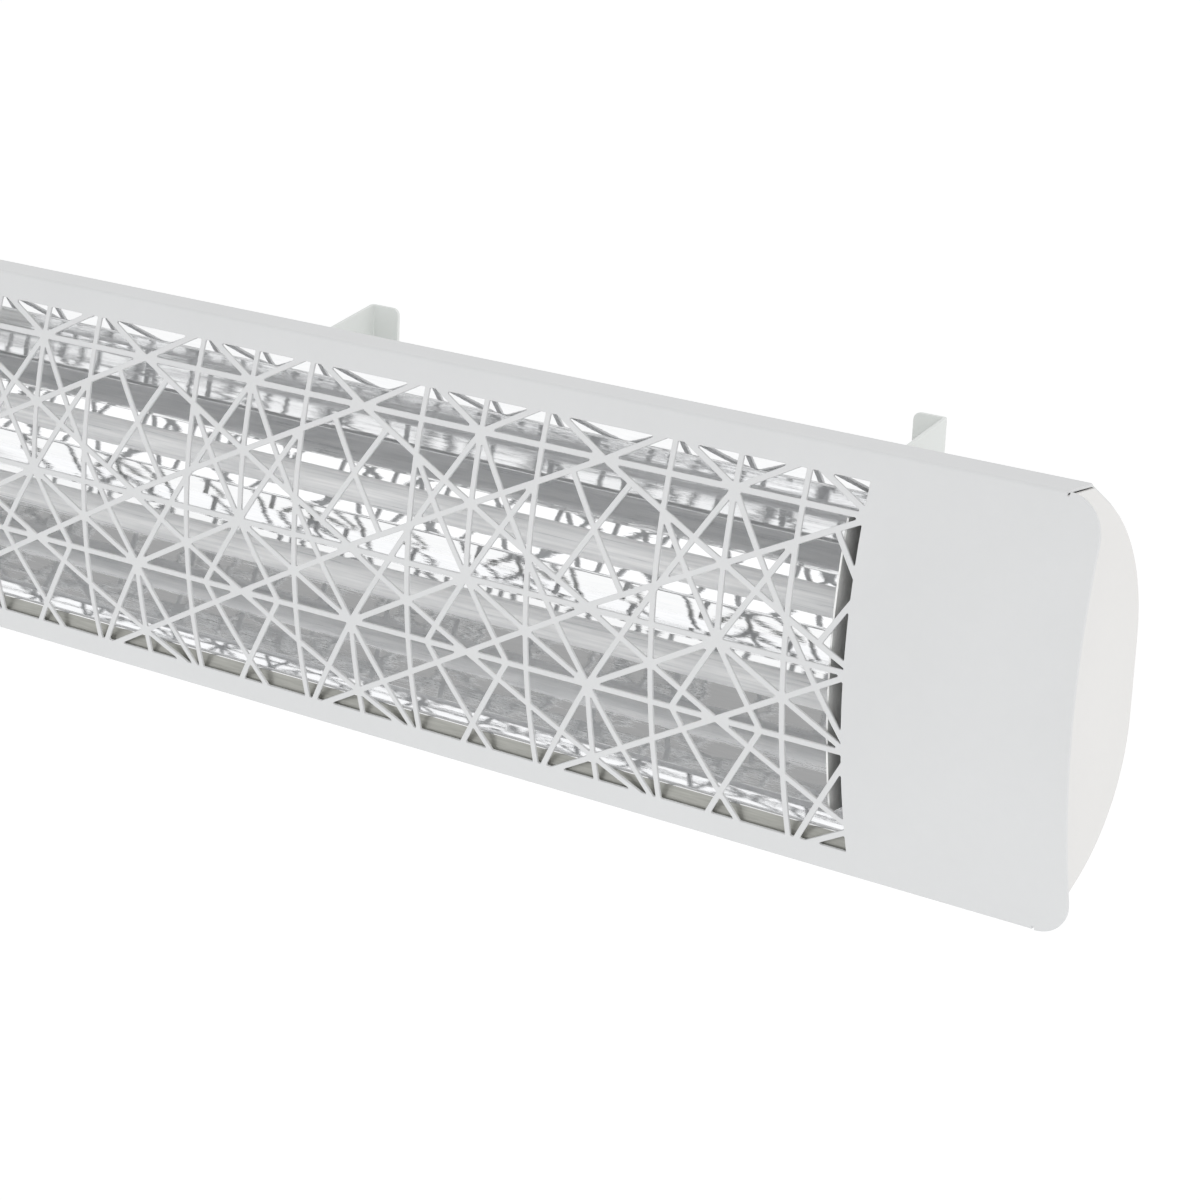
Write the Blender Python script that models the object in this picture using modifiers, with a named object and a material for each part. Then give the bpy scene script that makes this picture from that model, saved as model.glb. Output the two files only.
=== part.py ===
# Wall-mounted twin-tube radiant strip heater, tilting on three wall brackets.
# Metres. X runs along the heater, -Y is its front, +Z is up.
# The origin is on the wall plane, at mid length and mid height.
# Depths are measured backwards from the plane through the fascia's top and bottom edges.

import bpy
import bmesh
from math import pi, sqrt, sin, cos, atan2
from mathutils import Vector
from mathutils.geometry import delaunay_2d_cdt, intersect_line_line_2d

OBJECT_NAME = "radiant_strip_heater"

GAP = 0.0003                # between pieces that touch
BEND_STEP = 0.0004          # how far one leg of a bent sheet stands in from the other's face

# fascia
FASCIA_LENGTH = 0.991
FASCIA_HEIGHT = 0.208
FASCIA_BOW = 0.0174
FASCIA_SHEET = 0.0015
FASCIA_CORNER = 0.020
FLANGE_DEPTH = 0.0246
FLANGE_DROP = 0.0012
OPENING_END_MARGIN = 0.1195
OPENING_EDGE_MARGIN = 0.0135
END_STRIPS = 8              # facets that follow the bow on the blank ends

# lattice of straight bars
BAR_WIDTH = 0.0029
LATTICE_PITCH = 0.1524
TOP_ROW_INSET = 0.0155      # from the opening's upper edge
BOTTOM_ROW_INSET = 0.0130   # from the opening's lower edge
MID_ROW = 0.0015
LOW_LINE_LIFT = 0.0015      # sloping bars meet this far above the middle row
SMALLEST_CELL = 0.0012      # cells narrower than this stay solid

# rear casing
CASING_SHEET = 0.0010
CASING_DEPTH = 0.080
CASING_FRONT_DEPTH = 0.0030
SHOULDER_ANGLE = 32.6 * pi / 180
WALL_CLEARANCE = 0.020      # between the casing's back and the wall
WALL_DEPTH = CASING_DEPTH + WALL_CLEARANCE
BACK_RADIUS = 0.085
ARC_STEPS = 7
CAP_SHEET = 0.0012
CAP_RIM = 0.012

# reflector and bulkheads
REFLECTOR_SHEET = 0.0008
RIDGE_DEPTH = 0.040
TROUGH_DEPTH = 0.050
TROUGH_INNER = 0.025
TROUGH_OUTER = 0.041
FLARE_DEPTH = 0.015
FLARE_HEIGHT = 0.0794
LIP_DEPTH = 0.0003
LIP_HEIGHT = 0.0832
LIP_FLANGE_DEPTH = -0.0008
LIP_FLANGE_HEIGHT = 0.0915
LIP_END_INSET = 0.0010      # the lips' ends, inside the opening's end edge
BULKHEAD_INSET = 0.0085     # inside the opening's end edge
BULKHEAD_SHEET = 0.0010
BULKHEAD_BOW = 0.0160
BULKHEAD_FRONT_HEIGHT = 0.072
BULKHEAD_NOTCH_MARGIN = 0.0085

# heating tubes
TUBE_RADIUS = 0.0074
TUBE_WALL = 0.0011
TUBE_HALF_SPACING = 0.0232
TUBE_DEPTH = 0.0135
TUBE_OVERHANG = 0.028       # past each bulkhead
TUBE_HOLE_CLEARANCE = 0.0015
COIL_RADIUS = 0.0036
CERAMIC_RADIUS = 0.0100
CERAMIC_LENGTH = 0.026
CERAMIC_SOCKET = 0.012
PIN_HOLE_RADIUS = 0.0016
HOLDER_SHEET = 0.0015
HOLDER_FOOT = 0.014
HOLDER_FOOT_HALF_HEIGHT = 0.015
LEAD_RADIUS = 0.0013

# wiring end
TERMINAL_SIZE = (0.020, 0.018, 0.046)
TERMINAL_FROM_END = 0.044  # its centre
GLAND_FROM_END = 0.067
EARTH_STUD_DROP = 0.017
EARTH_NUT_RADIUS = 0.0045
GLAND_RADIUS = 0.0080
GLAND_THREAD_RADIUS = 0.0060
GLAND_BORE_RADIUS = 0.0040
GLAND_LENGTH = 0.011
GLAND_NUT_THICKNESS = 0.003

# wall brackets and tilt pivots
BRACKET_SPACING = 0.3455
BRACKET_SHEET = 0.0020
BRACKET_PLATE_WIDTH = 0.019
BRACKET_TOP = 0.0995
BRACKET_BOTTOM = -0.046
BRACKET_PLATE_RADIUS = 0.004
BRACKET_SLOT_RADIUS = 0.0026
BRACKET_SLOT_LENGTH = 0.012
BRACKET_SLOT_HEIGHT = 0.070
BRACKET_LOW_HOLE = -0.018
WEB_TOP_SLOPE = 0.22
WEB_NOSE_LENGTH = 0.028     # how far the web reaches ahead of the casing's back
WEB_NOSE_DEPTH = CASING_DEPTH - WEB_NOSE_LENGTH
WEB_CLEARANCE = 0.0025      # from the casing
PIVOT_BEHIND_CASING = 0.0105
PIVOT_DEPTH = CASING_DEPTH + PIVOT_BEHIND_CASING
PIVOT_HEIGHT = -0.034
PIVOT_BOSS_RADIUS = 0.0070
PIVOT_HOLE_CLEARANCE = 0.0003
BOLT_RADIUS = 0.0030
BOLT_HEAD_RADIUS = 0.0055
BOLT_HEAD_THICKNESS = 0.0040
NUT_THICKNESS = 0.0050
WASHER_RADIUS = 0.0062
WASHER_THICKNESS = 0.0012
EAR_SHEET = 0.0020
EAR_FOOT_WIDTH = 0.016
EAR_FOOT_HALF_HEIGHT = 0.018
RIVET_RADIUS = 0.0020
RIVET_HEAD_RADIUS = 0.0038
RIVET_HEAD_THICKNESS = 0.0012
RIVET_HALF_SPACING = 0.011

# small screws
SCREW_RADIUS = 0.0016
SCREW_HEAD_RADIUS = 0.0032
SCREW_HEAD_THICKNESS = 0.0018
SCREW_LENGTH = 0.006
CAP_SCREW_HALF_SPACING = 0.012
FASCIA_SCREW_PLACES = (-0.40, -0.14, 0.14, 0.40)    # along the lower flange
FASCIA_SCREW_DEPTH = 0.014

# sizes worked out from the ones above
HALF_LENGTH = FASCIA_LENGTH / 2
HALF_HEIGHT = FASCIA_HEIGHT / 2
CAP_X = HALF_LENGTH - FASCIA_CORNER
OPENING_HALF_LENGTH = HALF_LENGTH - OPENING_END_MARGIN
OPENING_HALF_HEIGHT = HALF_HEIGHT - OPENING_EDGE_MARGIN
BULKHEAD_X = OPENING_HALF_LENGTH - BULKHEAD_INSET
LIP_END_X = OPENING_HALF_LENGTH - LIP_END_INSET
TUBE_END_X = BULKHEAD_X + TUBE_OVERHANG
CERAMIC_OUTER_X = TUBE_END_X - CERAMIC_SOCKET + GAP + CERAMIC_LENGTH
BOW_RADIUS = (HALF_HEIGHT ** 2 + FASCIA_BOW ** 2) / (2 * FASCIA_BOW)
CASING_SHOULDER = HALF_HEIGHT - FLANGE_DROP - FASCIA_SHEET - GAP

WHITE_COAT = ("white_coat", (0.78, 0.79, 0.79), 0.45, 0.0)
WARM_COAT = ("warm_white_coat", (0.82, 0.81, 0.78), 0.45, 0.0)
MIRROR = ("polished_aluminium", (0.90, 0.90, 0.91), 0.12, 1.0)
GREY_STEEL = ("grey_steel", (0.35, 0.36, 0.36), 0.40, 1.0)
QUARTZ = ("milky_quartz", (0.88, 0.89, 0.90), 0.35, 0.0)
WIRE_METAL = ("resistance_wire", (0.40, 0.36, 0.33), 0.45, 1.0)
CERAMIC = ("white_ceramic", (0.85, 0.83, 0.77), 0.60, 0.0)
PLASTIC = ("black_plastic", (0.04, 0.04, 0.04), 0.50, 0.0)
SLEEVE = ("glass_sleeve", (0.75, 0.73, 0.68), 0.80, 0.0)
ZINC = ("zinc_steel", (0.62, 0.63, 0.65), 0.35, 1.0)


def y_at(depth):
    return depth - WALL_DEPTH


def bow_at(height, bow=FASCIA_BOW, half=HALF_HEIGHT):
    """Depth of an arc that is 0 at +-half and stands forward by bow at the middle."""
    radius = (half ** 2 + bow ** 2) / (2 * bow)
    limited = min(abs(height), half)
    return radius - bow - sqrt(radius ** 2 - limited ** 2)


# ---- scene helpers ----

def clear_scene():
    for item in list(bpy.data.objects):
        bpy.data.objects.remove(item, do_unlink=True)


def new_collection(name):
    made = bpy.data.collections.new(name)
    bpy.context.scene.collection.children.link(made)
    return made


def material(finish):
    name, colour, roughness, metallic = finish
    made = bpy.data.materials.get(name)
    if made is None:
        made = bpy.data.materials.new(name)
        made.use_nodes = True
        shader = made.node_tree.nodes["Principled BSDF"]
        shader.inputs["Base Color"].default_value = (*colour, 1.0)
        shader.inputs["Roughness"].default_value = roughness
        shader.inputs["Metallic"].default_value = metallic
        made.diffuse_color = (*colour, 1.0)
    return made


def place(obj, finish, moving=True):
    """Put a finished piece in the object's collection, on the tilting empty if it moves."""
    PARTS.objects.link(obj)
    obj.data.materials.clear()
    obj.data.materials.append(material(finish))
    if moving:
        obj.parent = TILT
        obj.matrix_parent_inverse = TILT.matrix_world.inverted()
    return obj


def add_cutter(obj):
    CUTTERS.objects.link(obj)
    obj.hide_render = True
    obj.display_type = 'WIRE'
    return obj


def boolean(obj, operand, operation='DIFFERENCE'):
    made = obj.modifiers.new(operand.name, 'BOOLEAN')
    made.operation = operation
    made.solver = 'EXACT'
    made.object = operand


def matrix_mesh(obj):
    """Write the object's own place into its mesh."""
    bpy.context.view_layer.update()
    obj.data.transform(obj.matrix_world)
    obj.matrix_world.identity()


# ---- shapes ----

def cone_object(name, radius, length, centre, axis, sides=12, top_radius=None):
    """A closed cylinder, cone or prism along X, Y or Z."""
    mesh = bpy.data.meshes.new(name)
    shape = bmesh.new()
    bmesh.ops.create_cone(shape, cap_ends=True, segments=sides, radius1=radius,
                          radius2=radius if top_radius is None else top_radius, depth=length)
    shape.to_mesh(mesh)
    shape.free()
    obj = bpy.data.objects.new(name, mesh)
    obj.rotation_euler = {'X': (0, pi / 2, 0), 'Y': (-pi / 2, 0, 0), 'Z': (0, 0, 0)}[axis]
    obj.location = centre
    return obj


def box_object(name, size, centre):
    mesh = bpy.data.meshes.new(name)
    shape = bmesh.new()
    bmesh.ops.create_cube(shape, size=1.0)
    bmesh.ops.scale(shape, vec=size, verts=shape.verts)
    shape.to_mesh(mesh)
    shape.free()
    obj = bpy.data.objects.new(name, mesh)
    obj.location = centre
    return obj


def outline_object(name, loops, thickness, facing, offset):
    """A flat sheet from closed outlines: the first is its edge, the others are holes.

    facing 'X' reads the points as (y, z) and 'Y' reads them as (x, z).
    """
    curve = bpy.data.curves.new(name + "_outline", 'CURVE')
    curve.dimensions = '2D'
    curve.fill_mode = 'BOTH'
    curve.extrude = thickness / 2
    for loop in loops:
        spline = curve.splines.new('POLY')
        spline.points.add(len(loop) - 1)
        for point, (across, up) in zip(spline.points, loop):
            point.co = (across, up, 0, 1)
        spline.use_cyclic_u = True
    source = bpy.data.objects.new(name + "_outline", curve)
    if facing == 'X':
        source.rotation_euler = (pi / 2, 0, pi / 2)
        source.location = (offset, 0, 0)
    else:
        source.rotation_euler = (pi / 2, 0, 0)
        source.location = (0, offset, 0)
    bpy.context.scene.collection.objects.link(source)
    bpy.context.view_layer.update()
    evaluated = source.evaluated_get(bpy.context.evaluated_depsgraph_get())
    mesh = bpy.data.meshes.new_from_object(evaluated)
    mesh.name = name
    mesh.transform(source.matrix_world)
    bpy.data.objects.remove(source, do_unlink=True)
    bpy.data.curves.remove(curve)
    shape = bmesh.new()
    shape.from_mesh(mesh)
    bmesh.ops.remove_doubles(shape, verts=shape.verts, dist=1e-6)
    bmesh.ops.recalc_face_normals(shape, faces=shape.faces)
    shape.to_mesh(mesh)
    shape.free()
    return bpy.data.objects.new(name, mesh)


def channel_object(name, profile, half_length, sheet, inward):
    """An open (depth, z) profile drawn out along X and given a wall."""
    mesh = bpy.data.meshes.new(name)
    shape = bmesh.new()
    start = [shape.verts.new((-half_length, y_at(depth), height)) for depth, height in profile]
    edges = [shape.edges.new(pair) for pair in zip(start, start[1:])]
    drawn = bmesh.ops.extrude_edge_only(shape, edges=edges)["geom"]
    ends = [item for item in drawn if isinstance(item, bmesh.types.BMVert)]
    bmesh.ops.translate(shape, verts=ends, vec=(2 * half_length, 0, 0))
    shape.to_mesh(mesh)
    shape.free()
    obj = bpy.data.objects.new(name, mesh)
    wall = obj.modifiers.new("sheet", 'SOLIDIFY')
    wall.thickness = sheet
    wall.offset = -1 if inward else 1
    wall.use_even_offset = True
    return obj


def turned_object(name, profile, centre, axis, steps=16, closed=False):
    """A turned piece from (radius, height) points, outer side first and top to bottom."""
    mesh = bpy.data.meshes.new(name)
    shape = bmesh.new()
    ring = [shape.verts.new((radius, 0, height)) for radius, height in profile]
    for pair in zip(ring, ring[1:]):
        shape.edges.new(pair)
    if closed:
        shape.edges.new((ring[-1], ring[0]))
    shape.to_mesh(mesh)
    shape.free()
    obj = bpy.data.objects.new(name, mesh)
    turn = obj.modifiers.new("turn", 'SCREW')
    turn.axis = 'Z'
    turn.steps = steps
    turn.render_steps = steps
    turn.use_merge_vertices = True
    turn.merge_threshold = 0.00001
    turn.use_smooth_shade = False
    obj.location = centre
    obj.rotation_euler = {'+X': (0, pi / 2, 0), '-X': (0, -pi / 2, 0), '+Y': (-pi / 2, 0, 0),
                          '-Z': (pi, 0, 0), '+Z': (0, 0, 0)}[axis]
    return obj


def wire_object(name, points, radius):
    curve = bpy.data.curves.new(name, 'CURVE')
    curve.dimensions = '3D'
    curve.bevel_depth = radius
    curve.bevel_resolution = 2
    curve.use_fill_caps = True
    spline = curve.splines.new('POLY')
    spline.points.add(len(points) - 1)
    for point, place_at in zip(spline.points, points):
        point.co = (*place_at, 1)
    return bpy.data.objects.new(name, curve)


def smooth_route(points, steps=4):
    """Points along a Catmull-Rom curve through the given ones."""
    route = [Vector(point) for point in points]
    padded = [route[0]] + route + [route[-1]]
    fine = []
    for before, start, end, after in zip(padded, padded[1:], padded[2:], padded[3:]):
        for step in range(steps):
            t = step / steps
            fine.append(0.5 * (2 * start + (end - before) * t
                               + (2 * before - 5 * start + 4 * end - after) * t ** 2
                               + (3 * start - before - 3 * end + after) * t ** 3))
    fine.append(route[-1])
    return fine


def screw_profile(radius, length, head_radius, head_thickness):
    """Pan head above 0 and shank below it."""
    return [(0, head_thickness), (head_radius * 0.6, head_thickness), (head_radius, head_thickness * 0.4),
            (head_radius, 0), (radius, 0), (radius, -length), (0, -length)]


def drill(obj, name, centre, axis, radius, length, sides=12):
    cutter = add_cutter(cone_object(name, radius, length, centre, axis, sides))
    if obj.parent is not None:
        cutter.parent = obj.parent
        cutter.matrix_parent_inverse = obj.matrix_parent_inverse
    boolean(obj, cutter)


# ---- profiles ----

def casing_half(inset=0.0):
    """Upper half of the casing's outer line as (depth, z), from its front to the flat back."""
    shoulder = Vector((FLANGE_DEPTH, CASING_SHOULDER))
    along = Vector((cos(SHOULDER_ANGLE), -sin(SHOULDER_ANGLE)))
    normal = Vector((-along.y, along.x))
    back = CASING_DEPTH - inset
    radius = BACK_RADIUS - inset
    front_slope = FLANGE_DROP / FLANGE_DEPTH
    front_z = CASING_SHOULDER + front_slope * (FLANGE_DEPTH - CASING_FRONT_DEPTH) - inset
    start = shoulder - normal * inset
    corner_shift = (front_z - front_slope * (start.x - CASING_FRONT_DEPTH) - start.y) / (along.y + front_slope)
    shoulder_in = start + along * corner_shift
    # the arc touches the sloping shoulder and the flat back
    centre_x = back - radius
    centre_y = (start + along * ((centre_x + normal.x * radius - start.x) / along.x)).y - normal.y * radius
    arc = []
    for step in range(ARC_STEPS + 1):
        angle = atan2(normal.y, normal.x) * (1 - step / ARC_STEPS)
        arc.append((centre_x + radius * cos(angle), centre_y + radius * sin(angle)))
    return [(CASING_FRONT_DEPTH, front_z), tuple(shoulder_in)] + arc


def casing_depth_at(height, inset):
    """Depth of the casing's back, less an inset, at a height; it is flat in the middle."""
    line = casing_half(inset)
    for (near, high), (far, low) in zip(line, line[1:]):
        if low <= height <= high and high > low:
            return far + (near - far) * (height - low) / (high - low)
    return line[-1][0]


def mirrored(half):
    return half + [(depth, -height) for depth, height in reversed(half)]


def front_edge(clearance, bow, half, steps=10):
    """A bowed front edge from the bottom up, set back from the fascia by a clearance."""
    points = []
    for step in range(steps + 1):
        height = -half + 2 * half * step / steps
        points.append((bow_at(height, bow, half) + clearance, height))
    return points


def closed_section(inset, clearance):
    """The closed end-on outline of the casing as (y, z): rear line, then the bowed front edge."""
    rear = mirrored(casing_half(inset))
    half = rear[0][1]
    bow = FASCIA_BOW * (half / HALF_HEIGHT) ** 2
    front = [(depth + bow_at(half), height) for depth, height in front_edge(clearance, bow, half)]
    return [(y_at(depth), height) for depth, height in rear[1:-1] + front]


# ---- fascia ----

def lattice_bars():
    """Centre lines of the bars, each cell column a mirror image of the next."""
    half = LATTICE_PITCH / 2
    quarter = LATTICE_PITCH / 4
    top = OPENING_HALF_HEIGHT - TOP_ROW_INSET
    bottom = -OPENING_HALF_HEIGHT + BOTTOM_ROW_INSET
    low = (MID_ROW + bottom) / 2
    beyond = 2 * OPENING_HALF_HEIGHT
    cross = (top + MID_ROW) / 2 + 0.001

    def along(start, end, across):
        """Height of the line through two points at a place across."""
        return start[1] + (end[1] - start[1]) * (across - start[0]) / (end[0] - start[0])

    high_line = ((half, top), (0, cross))
    low_line = ((0, cross), (half, MID_ROW + LOW_LINE_LIFT))
    knot = (half, along(*high_line, half) - (top - cross) * 0.95)
    upper_fork = intersect_line_line_2d(*high_line, knot, (0, knot[1] + half * 1.45))
    lower_fork = intersect_line_line_2d(*low_line, knot, (0, knot[1] - half * 1.45))
    diamond = ((half + quarter) * 0.227, low)
    return [
        ((0, top), (half, top)),
        ((0, MID_ROW), (half, MID_ROW)),
        ((0, low), (half, low)),
        ((0, beyond), (0, MID_ROW)),
        ((quarter, beyond), (quarter, -beyond)),
        ((half, low), (half, -beyond)),
        ((0, top), (half, top + half * 0.52)),
        ((half, top), (0, top + half * 0.52)),
        high_line,
        low_line,
        ((half, MID_ROW + LOW_LINE_LIFT), (half, MID_ROW)),
        ((0, top), (half, low)),
        (tuple(upper_fork), knot),
        (knot, tuple(lower_fork)),
        ((0, MID_ROW), (quarter, along(*high_line, quarter))),
        ((0, MID_ROW), (half, low)),
        ((0, low), (half, MID_ROW)),
        ((0, MID_ROW), diamond),
        (diamond, (0, bottom)),
        ((0, bottom), (half / 2, bottom - half * 0.75)),
        ((0, low), (half, bottom)),
        ((half, low), (half - beyond / 1.584, low - beyond)),
        ((half, bottom), (0, bottom - half * 0.52)),
    ]


def inset_cell(points, bar_inset):
    """A convex cell cut back by half a bar on every side but those on the opening's edge."""
    count = len(points)
    if sum(points[i - 1].cross(points[i]) for i in range(count)) < 0:
        points = points[::-1]
    kept = list(points)
    for start, end in zip(points, points[1:] + points[:1]):
        side = (end - start).normalized()
        inwards = Vector((-side.y, side.x))
        inset = 0.0 if on_border(start, end) else bar_inset
        clipped = []
        for here, following in zip(kept, kept[1:] + kept[:1]):
            here_in = (here - start).dot(inwards) - inset
            following_in = (following - start).dot(inwards) - inset
            if here_in >= 0:
                clipped.append(here)
            if (here_in > 0 > following_in) or (here_in < 0 < following_in):
                clipped.append(here.lerp(following, here_in / (here_in - following_in)))
        kept = clipped
        if len(kept) < 3:
            return None
    kept = [here for here, before in zip(kept, kept[-1:] + kept[:-1]) if (here - before).length > 1e-5]
    if len(kept) < 3 or narrowest_width(kept) < SMALLEST_CELL:
        return None
    return [tuple(corner) for corner in kept]


def on_border(start, end):
    """True for a cell side that lies along the opening's own edge."""
    across = abs(abs(start.x) - OPENING_HALF_LENGTH) < 1e-6 and abs(start.x - end.x) < 1e-6
    up = abs(abs(start.y) - OPENING_HALF_HEIGHT) < 1e-6 and abs(start.y - end.y) < 1e-6
    return across or up


def narrowest_width(loop):
    widths = []
    for start, end in zip(loop, loop[1:] + loop[:1]):
        side = (end - start).normalized()
        inwards = Vector((-side.y, side.x))
        widths.append(max((corner - start).dot(inwards) for corner in loop))
    return min(widths)


def lattice_cells():
    """The openings between the bars, as closed loops of (x, z)."""
    wide, tall = OPENING_HALF_LENGTH, OPENING_HALF_HEIGHT
    points = [Vector(corner) for corner in ((-wide, -tall), (wide, -tall), (wide, tall), (-wide, tall))]
    edges = []
    seen = set()
    columns = int(wide / LATTICE_PITCH) + 1
    for column in range(-columns, columns + 1):
        for side in (-1, 1):
            for start, end in lattice_bars():
                ends = [(round(column * LATTICE_PITCH + side * across, 7), round(up, 7))
                        for across, up in (start, end)]
                key = tuple(sorted(ends))
                if key in seen:
                    continue
                seen.add(key)
                edges.append((len(points), len(points) + 1))
                points.extend(Vector(place_at) for place_at in ends)
    corners, _, faces, *_ = delaunay_2d_cdt(points, edges, [(0, 1, 2, 3)], 3, 1e-6)
    holes = []
    for face in faces:
        loop = [corners[index] for index in face]
        middle = sum(loop, Vector((0, 0))) / len(loop)
        if abs(middle.x) < wide and abs(middle.y) < tall:
            holes.append(inset_cell(loop, BAR_WIDTH / 2))
    return [hole for hole in holes if hole is not None]


def rounded_rectangle(half_wide, half_tall, radius, steps=5):
    loop = []
    for quarter_turn, (side_x, side_z) in enumerate(((1, 1), (-1, 1), (-1, -1), (1, -1))):
        for step in range(steps + 1):
            angle = (quarter_turn + step / steps) * pi / 2
            loop.append((side_x * (half_wide - radius) + radius * cos(angle),
                         side_z * (half_tall - radius) + radius * sin(angle)))
    return loop


def fascia_layout():
    """The fascia flattened: corner points (x, z) and triangles, with lines to bend along."""
    points = []
    faces = []
    for loop in [rounded_rectangle(HALF_LENGTH, HALF_HEIGHT, FASCIA_CORNER)] + lattice_cells():
        faces.append(tuple(range(len(points), len(points) + len(loop))))
        points.extend(Vector(corner) for corner in loop)
    edges = []
    blank_start = OPENING_HALF_LENGTH + OPENING_END_MARGIN * 0.1
    for side in (-1, 1):
        edges.append((len(points), len(points) + 1))
        fold = side * (HALF_HEIGHT - FASCIA_SHEET)
        points.extend((Vector((-CAP_X, fold)), Vector((CAP_X, fold))))
        for step in range(1, END_STRIPS):
            edges.append((len(points), len(points) + 1))
            height = -HALF_HEIGHT + FASCIA_HEIGHT * step / END_STRIPS
            points.extend((Vector((side * blank_start, height)), Vector((side * HALF_LENGTH, height))))
    corners, _, triangles, *_ = delaunay_2d_cdt(points, edges, faces, 2, 1e-6)
    return corners, triangles


def make_fascia():
    corners, triangles = fascia_layout()
    shape = bmesh.new()
    front = [shape.verts.new((x, y_at(bow_at(z)), z)) for x, z in corners]
    back = [shape.verts.new((x, y_at(bow_at(z) + FASCIA_SHEET), z)) for x, z in corners]
    flange_faces = {1: [], -1: []}
    for triangle in triangles:
        shape.faces.new([front[index] for index in triangle])
        face = shape.faces.new([back[index] for index in reversed(triangle)])
        heights = [corners[index].y for index in triangle]
        for side in (1, -1):
            if min(side * height for height in heights) > HALF_HEIGHT - FASCIA_SHEET - 1e-6:
                if max(abs(corners[index].x) for index in triangle) < CAP_X + 1e-6:
                    flange_faces[side].append(face)
    place_of = {vert: index for index, vert in enumerate(front)}
    for edge in [edge for edge in shape.edges if len(edge.link_faces) == 1]:
        if edge.verts[0] in place_of:
            start, end = (place_of[vert] for vert in edge.verts)
            shape.faces.new((front[start], front[end], back[end], back[start]))
    for side, faces in flange_faces.items():
        made = bmesh.ops.extrude_face_region(shape, geom=faces)["geom"]
        bmesh.ops.delete(shape, geom=faces, context='FACES')
        for vert in [item for item in made if isinstance(item, bmesh.types.BMVert)]:
            vert.co.y = y_at(FLANGE_DEPTH)
            vert.co.z -= side * FLANGE_DROP
    bmesh.ops.recalc_face_normals(shape, faces=shape.faces)
    mesh = bpy.data.meshes.new("fascia_panel")
    shape.to_mesh(mesh)
    shape.free()
    return place(bpy.data.objects.new("fascia_panel", mesh), WHITE_COAT)


# ---- casing ----

def make_casing():
    profile = mirrored(casing_half())
    casing = channel_object("rear_casing", profile, CAP_X - CAP_SHEET - GAP, CASING_SHEET, True)
    return place(casing, WHITE_COAT)


def make_end_cap(name, side):
    cap = outline_object(name, [closed_section(0, FASCIA_SHEET + 3 * GAP)], CAP_SHEET, 'X',
                         side * (CAP_X - CAP_SHEET / 2))
    place(cap, WARM_COAT)
    outer = CASING_SHEET + 2 * GAP
    rim = outline_object(name + "_rim",
                         [closed_section(outer, FASCIA_SHEET + 0.002),
                          closed_section(outer + CAP_SHEET, FASCIA_SHEET + 0.002 + CAP_SHEET)],
                         CAP_RIM, 'X', side * (CAP_X - CAP_SHEET * 0.5 - CAP_RIM / 2))
    add_cutter(rim)
    rim.parent = TILT
    rim.matrix_parent_inverse = TILT.matrix_world.inverted()
    boolean(cap, rim, 'UNION')
    return cap


def make_cap_screws(casing, caps):
    across = CAP_X - CAP_SHEET - CAP_RIM * 0.55
    for cap, side_name, side in caps:
        for level, height in (("upper", CAP_SCREW_HALF_SPACING), ("lower", -CAP_SCREW_HALF_SPACING)):
            name = "cap_screw_" + level + "_" + side_name
            seat = (side * across, y_at(CASING_DEPTH) + GAP, height)
            profile = screw_profile(SCREW_RADIUS, SCREW_LENGTH, SCREW_HEAD_RADIUS, SCREW_HEAD_THICKNESS)
            place(turned_object(name, profile, seat, '+Y', 10), ZINC)
            for piece in (casing, cap):
                drill(piece, name + "_hole_" + piece.name, seat, 'Y', SCREW_RADIUS + GAP, 0.012, 8)


def make_fascia_screws(fascia, casing):
    height = -HALF_HEIGHT + FLANGE_DROP * FASCIA_SCREW_DEPTH / FLANGE_DEPTH - GAP
    for number, across in enumerate(FASCIA_SCREW_PLACES, 1):
        name = "fascia_screw_" + str(number)
        seat = (across, y_at(FASCIA_SCREW_DEPTH), height - GAP)
        profile = screw_profile(SCREW_RADIUS, SCREW_LENGTH, SCREW_HEAD_RADIUS, SCREW_HEAD_THICKNESS)
        place(turned_object(name, profile, seat, '-Z', 10), ZINC)
        for piece in (fascia, casing):
            drill(piece, name + "_hole_" + piece.name, seat, 'Z', SCREW_RADIUS + GAP, 0.012, 8)


# ---- reflector and tubes ----

def make_reflector():
    half = [(LIP_FLANGE_DEPTH, LIP_FLANGE_HEIGHT), (LIP_DEPTH, LIP_HEIGHT), (FLARE_DEPTH, FLARE_HEIGHT),
            (TROUGH_DEPTH, TROUGH_OUTER), (TROUGH_DEPTH, TROUGH_INNER)]
    profile = half + [(RIDGE_DEPTH, 0)] + [(depth, -height) for depth, height in reversed(half)]
    sheet = place(channel_object("reflector", profile, LIP_END_X, REFLECTOR_SHEET, False), MIRROR)
    # only the lips run on past the bulkheads
    front = FLARE_DEPTH - 0.0015
    back = TROUGH_DEPTH + 0.010
    wide = LIP_END_X - BULKHEAD_X + BULKHEAD_SHEET + GAP + 0.005
    for side_name, side in (("left", -1), ("right", 1)):
        inner = BULKHEAD_X - BULKHEAD_SHEET - GAP
        cut = box_object("reflector_end_" + side_name, (wide, back - front, 2 * HALF_HEIGHT),
                         (side * (inner + wide / 2), y_at((front + back) / 2), 0))
        add_cutter(cut)
        cut.parent = TILT
        cut.matrix_parent_inverse = TILT.matrix_world.inverted()
        boolean(sheet, cut)
    return sheet


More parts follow.
